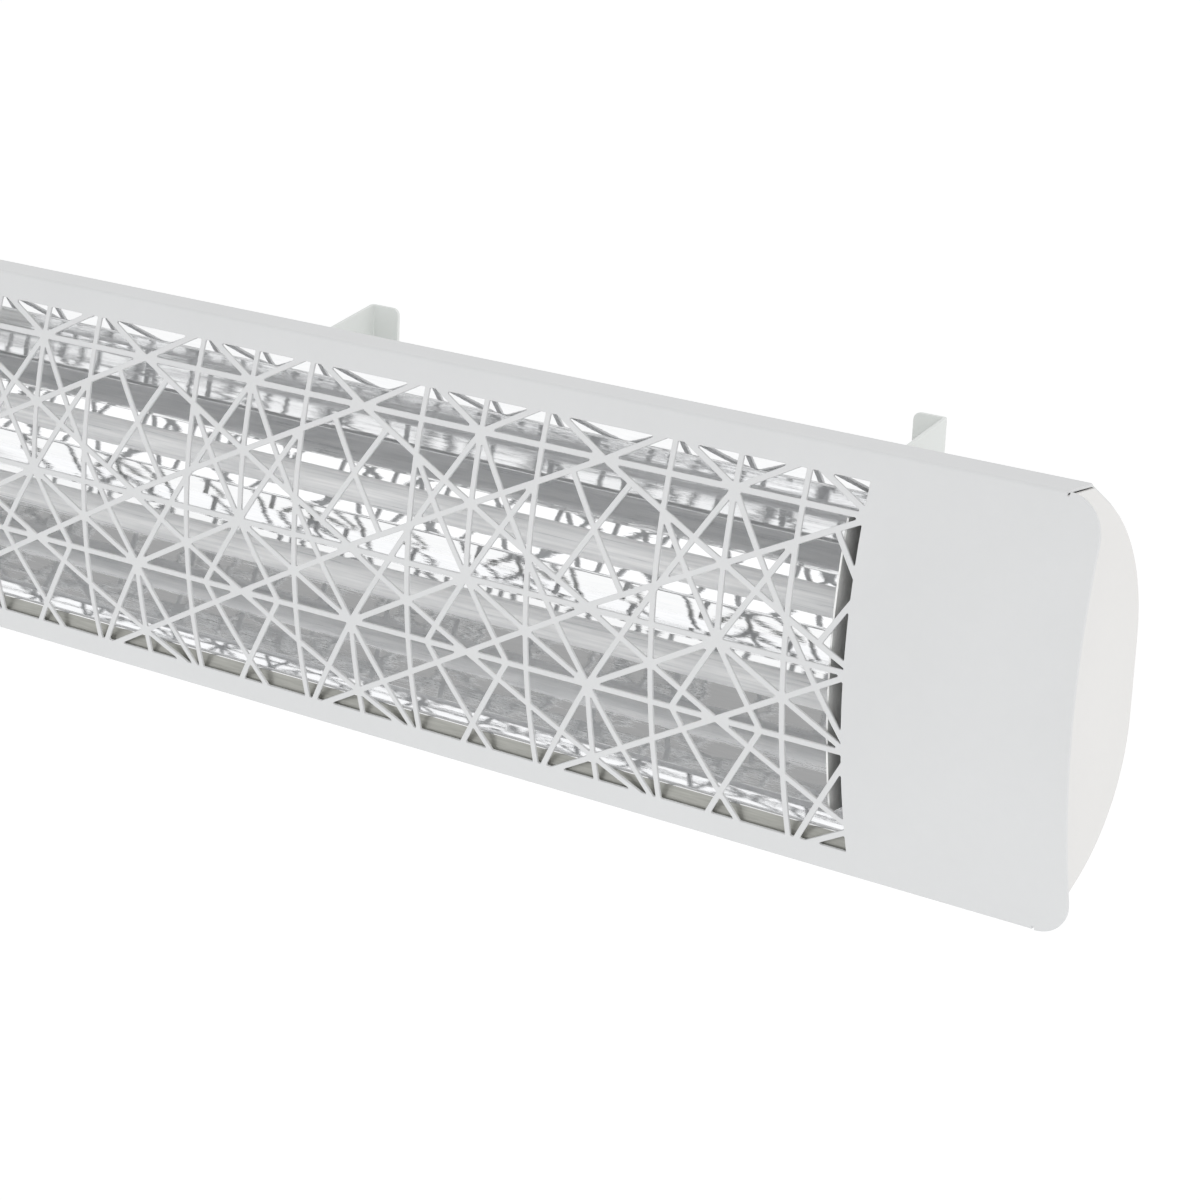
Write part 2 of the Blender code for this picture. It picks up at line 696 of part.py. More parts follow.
def make_bulkhead(name, side):
    inset = CASING_SHEET + 2 * GAP
    rear = mirrored(casing_half(inset))
    half = rear[0][1]
    clearance = bow_at(0) + BULKHEAD_BOW + FASCIA_SHEET + 3 * GAP
    # the front corners are cut away where the reflector's lips pass
    tall = BULKHEAD_FRONT_HEIGHT
    front = []
    for step in range(11):
        height = -tall + 2 * tall * step / 10
        front.append((bow_at(height, BULKHEAD_BOW, half) + clearance, height))
    notch = FLARE_DEPTH + BULKHEAD_NOTCH_MARGIN
    front = [(notch, -tall)] + front + [(notch, tall)]
    outline = [(y_at(depth), height) for depth, height in rear[1:-1] + front]
    tube_hole = TUBE_RADIUS + TUBE_HOLE_CLEARANCE
    holes = []
    for height in (TUBE_HALF_SPACING, -TUBE_HALF_SPACING):
        holes.append([(y_at(TUBE_DEPTH) + tube_hole * cos(step * pi / 8),
                       height + tube_hole * sin(step * pi / 8)) for step in range(16)])
    plate = outline_object(name, [outline] + holes, BULKHEAD_SHEET, 'X',
                           side * (BULKHEAD_X - BULKHEAD_SHEET / 2))
    return place(plate, GREY_STEEL)


def make_tube(level, height):
    sides = 20
    outer, inner = TUBE_RADIUS, TUBE_RADIUS - TUBE_WALL
    profile = [(inner, TUBE_END_X), (outer, TUBE_END_X), (outer, -TUBE_END_X), (inner, -TUBE_END_X)]
    tube = turned_object("quartz_tube_" + level, profile, (0, y_at(TUBE_DEPTH), height), '+X', sides, True)
    place(tube, QUARTZ)
    coil = cone_object("heating_coil_" + level, COIL_RADIUS, 2 * TUBE_END_X - 2 * CERAMIC_SOCKET,
                       (0, y_at(TUBE_DEPTH), height), 'X', 10)
    place(coil, WIRE_METAL)


def make_ceramic(level, height, side_name, side):
    """An end socket: the tube enters its blind bore and the lead its small hole."""
    inner_end = TUBE_END_X - CERAMIC_SOCKET
    socket = TUBE_RADIUS + GAP
    floor = CERAMIC_SOCKET + GAP
    profile = [(socket, 0), (PIN_HOLE_RADIUS, floor), (PIN_HOLE_RADIUS, CERAMIC_LENGTH),
               (CERAMIC_RADIUS * 0.7, CERAMIC_LENGTH), (CERAMIC_RADIUS, CERAMIC_LENGTH * 0.85),
               (CERAMIC_RADIUS, 0)]
    profile.insert(1, (socket, floor))
    piece = turned_object("ceramic_end_" + level + "_" + side_name, profile,
                          (side * inner_end, y_at(TUBE_DEPTH), height), '+X' if side > 0 else '-X', 14, True)
    place(piece, CERAMIC)


def make_holder(side_name, side):
    """A bent plate that carries both ceramic ends from the casing's back."""
    across = side * (TUBE_END_X - CERAMIC_SOCKET + CERAMIC_LENGTH * 0.45)
    back = casing_depth_at(HOLDER_FOOT_HALF_HEIGHT + 0.001, CASING_SHEET) - GAP
    hole = CERAMIC_RADIUS + GAP * 2
    reach = TUBE_HALF_SPACING + hole + 0.005
    edge = y_at(back - BEND_STEP)
    foot_edge = HOLDER_FOOT_HALF_HEIGHT + 0.001
    outline = [(edge, -foot_edge), (edge, foot_edge), (y_at(back - 0.022), 0.020),
               (y_at(TUBE_DEPTH + hole), reach), (y_at(TUBE_DEPTH - hole - 0.003), reach),
               (y_at(TUBE_DEPTH - hole - 0.003), -reach), (y_at(TUBE_DEPTH + hole), -reach),
               (y_at(back - 0.022), -0.020)]
    holes = []
    for height in (TUBE_HALF_SPACING, -TUBE_HALF_SPACING):
        holes.append([(y_at(TUBE_DEPTH) + hole * cos(step * pi / 8),
                       height + hole * sin(step * pi / 8)) for step in range(16)])
    plate = outline_object("ceramic_holder_" + side_name, [outline] + holes, HOLDER_SHEET, 'X', across)
    place(plate, GREY_STEEL)
    foot_x = across - side * ((HOLDER_FOOT - HOLDER_SHEET) / 2 + BEND_STEP)
    foot = box_object("foot_" + side_name, (HOLDER_FOOT, HOLDER_SHEET, 2 * HOLDER_FOOT_HALF_HEIGHT),
                      (foot_x, y_at(back - HOLDER_SHEET / 2), 0))
    add_cutter(foot)
    foot.parent = TILT
    foot.matrix_parent_inverse = TILT.matrix_world.inverted()
    boolean(plate, foot, 'UNION')


# ---- wiring ----

def terminal_centre():
    across = HALF_LENGTH - TERMINAL_FROM_END
    back = casing_depth_at(TERMINAL_SIZE[2] / 2, CASING_SHEET) - GAP
    return Vector((across, y_at(back) - TERMINAL_SIZE[1] / 2, 0))


def make_terminal_block():
    centre = terminal_centre()
    block = place(box_object("terminal_block", TERMINAL_SIZE, centre), PLASTIC)
    for number, height in enumerate((-0.0077, 0.0077)):
        slot = add_cutter(box_object("terminal_slot_" + str(number), (0.030, 0.008, 0.0014),
                                     centre + Vector((0, -TERMINAL_SIZE[1] / 2, height))))
        slot.parent = TILT
        slot.matrix_parent_inverse = TILT.matrix_world.inverted()
        boolean(block, slot)
    return block


def make_leads():
    tube_y = y_at(TUBE_DEPTH)
    start = CERAMIC_OUTER_X + GAP
    block = terminal_centre()
    entry_x = block.x - TERMINAL_SIZE[0] / 2 - GAP
    for level, side in (("upper", 1), ("lower", -1)):
        height = side * TUBE_HALF_SPACING
        way = entry_x - start
        route = [(start, tube_y, height), (start + way * 0.25, tube_y + 0.004, height),
                 (start + way * 0.45, tube_y + 0.020, height * 0.95),
                 (start + way * 0.65, block.y - 0.012, height * 0.8),
                 (start + way * 0.85, block.y - 0.001, side * 0.0155), (entry_x, block.y, side * 0.0155)]
        place(wire_object("lead_" + level, smooth_route(route), LEAD_RADIUS), SLEEVE)
    bend = 0.018
    route = [(-start, tube_y, TUBE_HALF_SPACING), (-start - bend * 0.7, tube_y + 0.003, TUBE_HALF_SPACING * 0.9),
             (-start - bend, tube_y + 0.006, TUBE_HALF_SPACING * 0.35),
             (-start - bend, tube_y + 0.006, -TUBE_HALF_SPACING * 0.35),
             (-start - bend * 0.7, tube_y + 0.003, -TUBE_HALF_SPACING * 0.9), (-start, tube_y, -TUBE_HALF_SPACING)]
    place(wire_object("lead_link", smooth_route(route), LEAD_RADIUS), SLEEVE)


def make_gland(casing):
    across = HALF_LENGTH - GLAND_FROM_END
    back = y_at(CASING_DEPTH)
    drill(casing, "gland_hole", (across, back, 0), 'Y', GLAND_THREAD_RADIUS + GAP, 0.010, 16)
    inside = CASING_SHEET + GLAND_NUT_THICKNESS + 3 * GAP
    profile = [(GLAND_BORE_RADIUS, GLAND_LENGTH), (GLAND_RADIUS * 0.75, GLAND_LENGTH),
               (GLAND_RADIUS, GLAND_LENGTH * 0.7), (GLAND_RADIUS, 0), (GLAND_THREAD_RADIUS, 0),
               (GLAND_THREAD_RADIUS, -inside), (GLAND_BORE_RADIUS, -inside)]
    place(turned_object("cable_gland", profile, (across, back + GAP, 0), '+Y', 16, True), PLASTIC)
    nut = cone_object("gland_nut", GLAND_RADIUS + 0.0015, GLAND_NUT_THICKNESS,
                      (across, back - CASING_SHEET - GAP - GLAND_NUT_THICKNESS / 2, 0), 'Y', 6)
    place(nut, PLASTIC)
    drill(nut, "gland_nut_hole", (across, back - CASING_SHEET - GAP - GLAND_NUT_THICKNESS / 2, 0), 'Y',
          GLAND_THREAD_RADIUS + GAP, 0.010, 16)


def make_earth_stud(casing):
    across = HALF_LENGTH - GLAND_FROM_END
    nut = EARTH_NUT_RADIUS
    back = casing_depth_at(EARTH_STUD_DROP + nut, CASING_SHEET) - GAP
    seat = (across, y_at(back), -EARTH_STUD_DROP)
    profile = [(0, 0), (nut, 0), (nut, -0.002), (0.002, -0.002), (0.002, -0.010), (0, -0.010)]
    place(turned_object("earth_stud", profile, seat, '+Y', 10), ZINC)


# ---- wall brackets ----

def casing_height_at(depth, clearance):
    """Height of the casing's outer line, grown by a clearance, at a depth."""
    line = casing_half(-clearance)
    for (near, high), (far, low) in zip(line, line[1:]):
        if near <= depth <= far and far > near:
            return high + (low - high) * (depth - near) / (far - near)
    return 0.0


def web_outline():
    """Side view of a bracket's web: it wraps the casing's upper back and ends round the pivot."""
    back = WALL_DEPTH - GAP
    nose_top = BRACKET_TOP - WEB_TOP_SLOPE * (back - WEB_NOSE_DEPTH)
    line = [point for point in casing_half(-WEB_CLEARANCE) if point[0] > WEB_NOSE_DEPTH]
    start = (WEB_NOSE_DEPTH, casing_height_at(WEB_NOSE_DEPTH, WEB_CLEARANCE))
    boss_front = PIVOT_DEPTH - PIVOT_BOSS_RADIUS
    nose = (WEB_NOSE_DEPTH, max(nose_top, start[1] + 0.001))
    outline = [(WALL_DEPTH - BEND_STEP, BRACKET_TOP - BEND_STEP), nose, start] + line
    outline.append((boss_front, PIVOT_HEIGHT + 0.010))
    for step in range(6):
        angle = pi + step * pi / 10
        outline.append((PIVOT_DEPTH + PIVOT_BOSS_RADIUS * cos(angle), PIVOT_HEIGHT + PIVOT_BOSS_RADIUS * sin(angle)))
    outline.append((WALL_DEPTH - BEND_STEP, PIVOT_HEIGHT - PIVOT_BOSS_RADIUS))
    return [(y_at(depth), height) for depth, height in outline]


def make_bracket(place_name, centre, side):
    """side is where the web stands: +1 at the plate's right, -1 at its left."""
    web_x = centre + side * (BRACKET_PLATE_WIDTH - BRACKET_SHEET) / 2
    web = outline_object("wall_bracket_" + place_name, [web_outline()], BRACKET_SHEET, 'X', web_x)
    place(web, WHITE_COAT, moving=False)
    free = centre - side * BRACKET_PLATE_WIDTH / 2
    held = centre + side * (BRACKET_PLATE_WIDTH / 2 - BEND_STEP)
    radius = BRACKET_PLATE_RADIUS
    loop = [(held, BRACKET_TOP), (held, BRACKET_BOTTOM)]
    for low, turn in ((True, 1), (False, 1)):
        height = BRACKET_BOTTOM + radius if low else BRACKET_TOP - radius
        for step in range(4):
            angle = step / 3 * pi / 2
            if low:
                loop.append((free + side * radius * (1 - sin(angle)), height - radius * cos(angle)))
            else:
                loop.append((free + side * radius * (1 - cos(angle)), height + radius * sin(angle)))
    slot = []
    middle = centre - side * BRACKET_SHEET / 2
    for half_turn, end in ((0, 1), (1, -1)):
        for step in range(5):
            angle = half_turn * pi + step * pi / 4
            slot.append((middle + BRACKET_SLOT_RADIUS * cos(angle),
                         BRACKET_SLOT_HEIGHT + end * BRACKET_SLOT_LENGTH / 2 + BRACKET_SLOT_RADIUS * sin(angle)))
    low_hole = [(middle + BRACKET_SLOT_RADIUS * cos(step * pi / 5),
                 BRACKET_LOW_HOLE + BRACKET_SLOT_RADIUS * sin(step * pi / 5)) for step in range(10)]
    plate = outline_object("plate_" + place_name, [loop, slot, low_hole], BRACKET_SHEET, 'Y',
                           -BRACKET_SHEET / 2)
    add_cutter(plate)
    boolean(web, plate, 'UNION')
    drill(web, "pivot_hole_" + place_name, (web_x, y_at(PIVOT_DEPTH), PIVOT_HEIGHT), 'X',
          BOLT_RADIUS + PIVOT_HOLE_CLEARANCE, 0.010, 16)
    return web_x


def make_ear(place_name, web_x, side, casing):
    """A bent lug on the casing's back, beside the web and on its outer side."""
    ear_x = web_x + side * (BRACKET_SHEET / 2 + GAP + EAR_SHEET / 2)
    foot_front = CASING_DEPTH + GAP
    foot_back = foot_front + EAR_SHEET
    radius = PIVOT_BOSS_RADIUS
    top = EAR_FOOT_HALF_HEIGHT - BEND_STEP
    loop = [(y_at(foot_front + BEND_STEP), top), (y_at(foot_back - BEND_STEP), top)]
    for step in range(9):
        angle = pi / 4 - step * pi / 6.4
        loop.append((y_at(PIVOT_DEPTH) + radius * cos(angle), PIVOT_HEIGHT + radius * sin(angle)))
    loop.append((y_at(foot_front + BEND_STEP), PIVOT_HEIGHT + radius))
    ear = outline_object("hanger_ear_" + place_name, [loop], EAR_SHEET, 'X', ear_x)
    place(ear, WHITE_COAT)
    foot_x = ear_x + side * ((EAR_FOOT_WIDTH - EAR_SHEET) / 2 + BEND_STEP)
    foot = add_cutter(box_object("ear_foot_" + place_name, (EAR_FOOT_WIDTH, EAR_SHEET, 2 * EAR_FOOT_HALF_HEIGHT),
                                 (foot_x, y_at(foot_front + EAR_SHEET / 2), 0)))
    foot.parent = TILT
    foot.matrix_parent_inverse = TILT.matrix_world.inverted()
    boolean(ear, foot, 'UNION')
    drill(ear, "ear_hole_" + place_name, (ear_x, y_at(PIVOT_DEPTH), PIVOT_HEIGHT), 'X',
          BOLT_RADIUS + PIVOT_HOLE_CLEARANCE, 0.010, 16)
    rivet_x = ear_x + side * (EAR_FOOT_WIDTH / 2 + EAR_SHEET / 4)
    for level, height in (("upper", RIVET_HALF_SPACING), ("lower", -RIVET_HALF_SPACING)):
        seat = (rivet_x, y_at(foot_back) + GAP, height)
        grip = EAR_SHEET + CASING_SHEET + 4 * GAP
        name = "ear_rivet_" + level + "_" + place_name
        profile = screw_profile(RIVET_RADIUS, grip, RIVET_HEAD_RADIUS, RIVET_HEAD_THICKNESS)
        place(turned_object(name, profile, seat, '+Y', 10), ZINC)
        for piece in (ear, casing):
            drill(piece, name + "_hole_" + piece.name, seat, 'Y', RIVET_RADIUS + GAP, 0.014, 8)
    return ear_x


def make_pivot(place_name, web_x, ear_x, side):
    """Hex bolt from the web's inner side, washer and nut on the ear's outer side."""
    pivot_y, pivot_z = y_at(PIVOT_DEPTH), PIVOT_HEIGHT
    head_face = web_x - side * (BRACKET_SHEET / 2 + GAP)
    washer_face = ear_x + side * (EAR_SHEET / 2 + GAP)
    nut_face = washer_face + side * (WASHER_THICKNESS + GAP)
    tip = nut_face + side * (NUT_THICKNESS + 0.0015)
    shank_start = head_face - side * BOLT_HEAD_THICKNESS / 2
    bolt = cone_object("pivot_bolt_" + place_name, BOLT_RADIUS, abs(tip - shank_start),
                       ((tip + shank_start) / 2, pivot_y, pivot_z), 'X', 14)
    place(bolt, ZINC, moving=False)
    head = add_cutter(cone_object("bolt_head_" + place_name, BOLT_HEAD_RADIUS, BOLT_HEAD_THICKNESS,
                                  (head_face - side * BOLT_HEAD_THICKNESS / 2, pivot_y, pivot_z), 'X', 6))
    boolean(bolt, head, 'UNION')
    for name, radius, thickness, face, sides in (
            ("pivot_washer_", WASHER_RADIUS, WASHER_THICKNESS, washer_face, 16),
            ("pivot_nut_", BOLT_HEAD_RADIUS, NUT_THICKNESS, nut_face, 6)):
        centre = (face + side * thickness / 2, pivot_y, pivot_z)
        ring = place(cone_object(name + place_name, radius, thickness, centre, 'X', sides), ZINC, moving=False)
        drill(ring, name + "hole_" + place_name, centre, 'X', BOLT_RADIUS + GAP, 0.012, 14)


def make_object():
    fascia = make_fascia()
    casing = make_casing()
    caps = [(make_end_cap("end_cap_" + name, side), name, side) for name, side in (("left", -1), ("right", 1))]
    make_cap_screws(casing, caps)
    make_fascia_screws(fascia, casing)
    make_reflector()
    for name, side in (("left", -1), ("right", 1)):
        make_bulkhead("bulkhead_" + name, side)
        make_holder(name, side)
        make_ceramic("upper", TUBE_HALF_SPACING, name, side)
        make_ceramic("lower", -TUBE_HALF_SPACING, name, side)
    make_tube("upper", TUBE_HALF_SPACING)
    make_tube("lower", -TUBE_HALF_SPACING)
    make_terminal_block()
    make_leads()
    make_gland(casing)
    make_earth_stud(casing)
    for name, centre, side in (("left", -BRACKET_SPACING, -1), ("centre", 0, -1), ("right", BRACKET_SPACING, 1)):
        web_x = make_bracket(name, centre, side)
        ear_x = make_ear(name, web_x, side, casing)
        make_pivot(name, web_x, ear_x, side)


clear_scene()
PARTS = new_collection(OBJECT_NAME)
CUTTERS = new_collection("cutters")
TILT = bpy.data.objects.new("tilt_axis", None)
TILT.location = (0, y_at(PIVOT_DEPTH), PIVOT_HEIGHT)
PARTS.objects.link(TILT)
bpy.context.view_layer.update()
make_object()
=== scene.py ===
from math import asin, atan2, cos, pi, radians, sin, sqrt, tan

import bmesh
import bpy
from mathutils import Matrix, Vector
from mathutils.geometry import delaunay_2d_cdt, intersect_line_line_2d


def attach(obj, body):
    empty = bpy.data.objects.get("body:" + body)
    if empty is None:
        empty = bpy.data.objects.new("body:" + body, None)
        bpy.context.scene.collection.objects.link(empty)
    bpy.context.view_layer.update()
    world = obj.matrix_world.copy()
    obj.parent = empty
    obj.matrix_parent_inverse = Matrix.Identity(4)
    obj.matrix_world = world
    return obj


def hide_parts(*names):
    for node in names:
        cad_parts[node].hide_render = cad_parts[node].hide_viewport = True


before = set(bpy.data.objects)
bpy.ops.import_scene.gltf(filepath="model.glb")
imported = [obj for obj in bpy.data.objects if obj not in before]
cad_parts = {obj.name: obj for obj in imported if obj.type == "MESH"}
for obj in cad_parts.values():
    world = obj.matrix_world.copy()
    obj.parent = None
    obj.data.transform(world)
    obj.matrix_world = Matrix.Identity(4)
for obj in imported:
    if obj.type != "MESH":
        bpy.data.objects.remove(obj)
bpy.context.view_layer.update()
print("frame loaded:", len(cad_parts), "nodes")

wallDepth = 0.100      # depth of the wall plane behind the front sheet's edges
gap = 0.0003           # between pieces that touch
upperLower = (("upper", 1), ("lower", -1))
leftRight = (("left", -1), ("right", 1))


def yAt(depth):
    return depth - wallDepth


# ---------- small helpers ----------

looks = bpy.data.collections.new("looks")
bpy.context.scene.collection.children.link(looks)


def newObject(name, data):
    obj = bpy.data.objects.new(name, data)
    looks.objects.link(obj)
    return obj


def meshFrom(name, verts, faces):
    mesh = bpy.data.meshes.new(name)
    mesh.from_pydata([tuple(v) for v in verts], [], faces)
    mesh.update()
    return mesh


def bakeShape(obj, place=None):
    # modifiers and place go into the mesh, cutters go away, and the object ends at the origin
    bpy.context.view_layer.update()
    evaluated = obj.evaluated_get(bpy.context.evaluated_depsgraph_get())
    mesh = bpy.data.meshes.new_from_object(evaluated)
    mesh.transform(place or obj.matrix_world)
    name = obj.name
    cutters = [step.object for step in obj.modifiers if step.type == 'BOOLEAN']
    for used in [obj] + cutters:
        bpy.data.objects.remove(used)
    shape = bmesh.new()
    shape.from_mesh(mesh)
    bmesh.ops.remove_doubles(shape, verts=shape.verts, dist=1e-6)
    loose = [vert for vert in shape.verts if not vert.link_faces]
    bmesh.ops.delete(shape, geom=loose, context='VERTS')
    bmesh.ops.recalc_face_normals(shape, faces=shape.faces)
    shape.to_mesh(mesh)
    shape.free()
    mesh.name = name
    return newObject(name, mesh)


def finishPiece(obj, material, body, replaced, smooth=35):
    if material is not None:
        obj.data.materials.clear()
        obj.data.materials.append(material)
    obj.data.shade_smooth()
    obj.data.set_sharp_from_angle(angle=radians(smooth))
    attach(obj, body)
    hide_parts(*replaced)
    return obj


def secondFinish(obj, material, chosen):
    obj.data.materials.append(material)
    for face in obj.data.polygons:
        if chosen(face):
            face.material_index = 1


def addModifier(obj, kind, **values):
    made = obj.modifiers.new(kind.lower(), kind)
    for key, value in values.items():
        setattr(made, key, value)
    return made


def bevelEdges(obj, width, segments=2, angle=40):
    return addModifier(obj, 'BEVEL', width=width, segments=segments, limit_method='ANGLE',
                       angle_limit=radians(angle), use_clamp_overlap=True)


def cutWith(obj, cutter):
    addModifier(obj, 'BOOLEAN', operation='DIFFERENCE', solver='EXACT', object=cutter)
    cutter.hide_render = True


def boxObject(name, sizeX, sizeY, sizeZ):
    verts = [(sizeX * i / 2, sizeY * j / 2, sizeZ * k / 2) for i in (-1, 1) for j in (-1, 1) for k in (-1, 1)]
    faces = [(0, 1, 3, 2), (4, 6, 7, 5), (0, 4, 5, 1), (2, 3, 7, 6), (0, 2, 6, 4), (1, 5, 7, 3)]
    return newObject(name, meshFrom(name, verts, faces))


def arcPoints(across, up, radius, start, end, steps):
    turns = [start + (end - start) * step / steps for step in range(steps + 1)]
    return [(across + radius * cos(turn), up + radius * sin(turn)) for turn in turns]


def flipped(half):
    # the lower half of a section from its upper half, in the opposite order
    return [Vector((p.x, -p.y)) for p in reversed(half)]


def mirrored(half):
    return half + flipped(half)


def objectOfShape(name, shape):
    mesh = bpy.data.meshes.new(name)
    shape.to_mesh(mesh)
    shape.free()
    return newObject(name, mesh)


def turned(name, profile, steps=32, closed=False):
    # (radius, height) points, outer side first and top to bottom, about Z
    shape = bmesh.new()
    ring = [shape.verts.new((radius, 0, height)) for radius, height in profile]
    for pair in zip(ring, ring[1:]):
        shape.edges.new(pair)
    if closed:
        shape.edges.new((ring[-1], ring[0]))
    obj = objectOfShape(name, shape)
    addModifier(obj, 'SCREW', axis='Z', steps=steps, render_steps=steps, use_merge_vertices=True,
                merge_threshold=1e-5, use_smooth_shade=False)
    return obj


def prism(name, radius, length, sides, chamfer=0.0):
    # hexagons and discs about Z, from 0 up to length
    shape = bmesh.new()
    bmesh.ops.create_cone(shape, cap_ends=True, segments=sides, radius1=radius, radius2=radius, depth=length)
    bmesh.ops.translate(shape, verts=shape.verts, vec=(0, 0, length / 2))
    obj = objectOfShape(name, shape)
    if chamfer:
        bevelEdges(obj, chamfer)
    return obj


facing = {"+X": Matrix.Rotation(pi / 2, 4, 'Y'), "-X": Matrix.Rotation(-pi / 2, 4, 'Y'),
          "+Y": Matrix.Rotation(-pi / 2, 4, 'X'), "-Y": Matrix.Rotation(pi / 2, 4, 'X'),
          "-Z": Matrix.Rotation(pi, 4, 'X')}


# ---------- node helpers ----------

def geometryTree(name, inputs):
    # named inputs, with a Material one last
    tree = bpy.data.node_groups.new(name, 'GeometryNodeTree')
    tree.interface.new_socket("Geometry", in_out='INPUT', socket_type='NodeSocketGeometry')
    for label, kind, default in inputs + [("Material", 'Material', None)]:
        socket = tree.interface.new_socket(label, in_out='INPUT', socket_type='NodeSocket' + kind)
        if default is not None:
            socket.default_value = default
    tree.interface.new_socket("Geometry", in_out='OUTPUT', socket_type='NodeSocketGeometry')
    return tree, tree.nodes.new('NodeGroupInput').outputs


def addNode(tree, kind, settings=None, **links):
    # settings are node properties; links are input sockets by name with _ for a space, or n and a number
    node = tree.nodes.new(kind)
    for key, value in (settings or {}).items():
        setattr(node, key, value)
    for key, value in links.items():
        if key[0] == "n" and key[1:].isdigit():
            socket = node.inputs[int(key[1:])]
        else:
            socket = next(item for item in node.inputs if item.enabled and item.name == key.replace("_", " "))
        if isinstance(value, bpy.types.NodeSocket):
            tree.links.new(value, socket)
        else:
            socket.default_value = value
    return node


def liveOutput(node):
    return next(socket for socket in node.outputs if socket.enabled)


def mathNode(tree, operation, first, second=0.0):
    return addNode(tree, 'ShaderNodeMath', {"operation": operation}, n0=first, n1=second).outputs[0]


def scaled(tree, value, factor):
    return mathNode(tree, 'MULTIPLY', value, factor)


def noise(tree, place, scale, detail, roughness=0.5):
    return addNode(tree, 'ShaderNodeTexNoise', Vector=place, Scale=scale, Detail=detail,
                   Roughness=roughness).outputs[0]


def endTree(tree, put, geometry):
    real = addNode(tree, 'GeometryNodeRealizeInstances', Geometry=geometry)
    done = addNode(tree, 'GeometryNodeSetMaterial', Geometry=real.outputs[0], Material=put["Material"])
    tree.links.new(done.outputs[0], tree.nodes.new('NodeGroupOutput').inputs[0])
    return tree


def runTree(obj, tree, values):
    made = obj.modifiers.new(tree.name, 'NODES')
    made.node_group = tree
    for item in tree.interface.items_tree:
        if item.item_type == 'SOCKET' and item.in_out == 'INPUT' and item.name in values:
            made[item.identifier] = values[item.name]
    return obj


# ---------- shared surface effects ----------

def objectPlace(tree):
    return addNode(tree, 'ShaderNodeTexCoord').outputs["Object"]


def effectGroup(name, inputs):
    tree = bpy.data.node_groups.new(name, 'ShaderNodeTree')
    for label, default in inputs.items():
        socket = tree.interface.new_socket(label, in_out='INPUT', socket_type='NodeSocketFloat')
        socket.default_value = default
    return tree, tree.nodes.new('NodeGroupInput').outputs, objectPlace(tree)


def endEffect(tree, results):
    for label in results:
        tree.interface.new_socket(label, in_out='OUTPUT', socket_type='NodeSocketFloat')
    out = tree.nodes.new('NodeGroupOutput')
    for label, value in results.items():
        tree.links.new(value, out.inputs[label])
    return tree


def spreadAround(tree, base, value, spread):
    # base roughness, more or less by a noise value
    return mathNode(tree, 'ADD', base, scaled(tree, mathNode(tree, 'SUBTRACT', value, 0.5), spread))


def makeCoatGrain():
    # powder coat: fine orange peel, and broad faint mottling
    tree, given, place = effectGroup("coatGrain", {"Peel scale": 750.0, "Mottle scale": 9.0,
                                                   "Base roughness": 0.42})
    peel = noise(tree, place, given["Peel scale"], 2.0)
    mottle = noise(tree, place, given["Mottle scale"], 3.0, 0.55)
    specks = noise(tree, place, 160.0, 4.0, 0.6)
    shade = mathNode(tree, 'ADD', scaled(tree, mottle, 0.75), scaled(tree, specks, 0.25))
    return endEffect(tree, {"Shade": shade, "Height": peel,
                            "Roughness": spreadAround(tree, given["Base roughness"], specks, 0.12)})


def makeRollingLines():
    # drawn sheet and tube: fine lines and slow waves along X
    tree, given, place = effectGroup("rollingLines", {
        "Line scale": 900.0, "Wave scale": 45.0, "Stretch": 0.06, "Base roughness": 0.1,
        "Roughness spread": 0.08})
    squeeze = addNode(tree, 'ShaderNodeCombineXYZ', X=given["Stretch"], Y=1.0, Z=1.0)
    along = addNode(tree, 'ShaderNodeVectorMath', {"operation": 'MULTIPLY'}, n0=place, n1=squeeze.outputs[0])
    lines = noise(tree, along.outputs[0], given["Line scale"], 3.0, 0.6)
    waves = noise(tree, along.outputs[0], given["Wave scale"], 2.0, 0.45)
    rough = spreadAround(tree, given["Base roughness"], lines, given["Roughness spread"])
    return endEffect(tree, {"Lines": lines, "Waves": waves, "Roughness": rough})


coatGrain = makeCoatGrain()
rollingLines = makeRollingLines()


def newMaterial(name, metallic=0.0, **sockets):
    made = bpy.data.materials.new(name)
    made.use_nodes = True
    shader = made.node_tree.nodes["Principled BSDF"]
    shader.inputs["Metallic"].default_value = metallic
    for key, value in sockets.items():
        shader.inputs[key.replace("_", " ")].default_value = value
    return made, made.node_tree, shader


def mixColours(tree, amount, low, high):
    ramp = addNode(tree, 'ShaderNodeValToRGB', n0=amount)
    for stop, position, colour in zip(ramp.color_ramp.elements, (0.3, 0.7), (low, high)):
        stop.position = position
        stop.color = (*colour, 1)
    return ramp.outputs[0]


def useGroup(tree, group, values):
    node = tree.nodes.new('ShaderNodeGroup')
    node.node_tree = group
    for key, value in values.items():
        node.inputs[key].default_value = value
    return node.outputs


def dress(tree, shader, colour, height, strength, distance, roughness=None):
    tree.links.new(colour, shader.inputs["Base Color"])
    if roughness is not None:
        tree.links.new(roughness, shader.inputs["Roughness"])
    bump = addNode(tree, 'ShaderNodeBump', Height=height, Strength=strength, Distance=distance)
    tree.links.new(bump.outputs[0], shader.inputs["Normal"])


def coatMaterial(name, low, high, roughness=0.42):
    made, tree, shader = newMaterial(name, Specular_IOR_Level=0.45)
    grain = useGroup(tree, coatGrain, {"Base roughness": roughness})
    dress(tree, shader, mixColours(tree, grain["Shade"], low, high), grain["Height"], 0.35, 0.00006,
          grain["Roughness"])
    return made


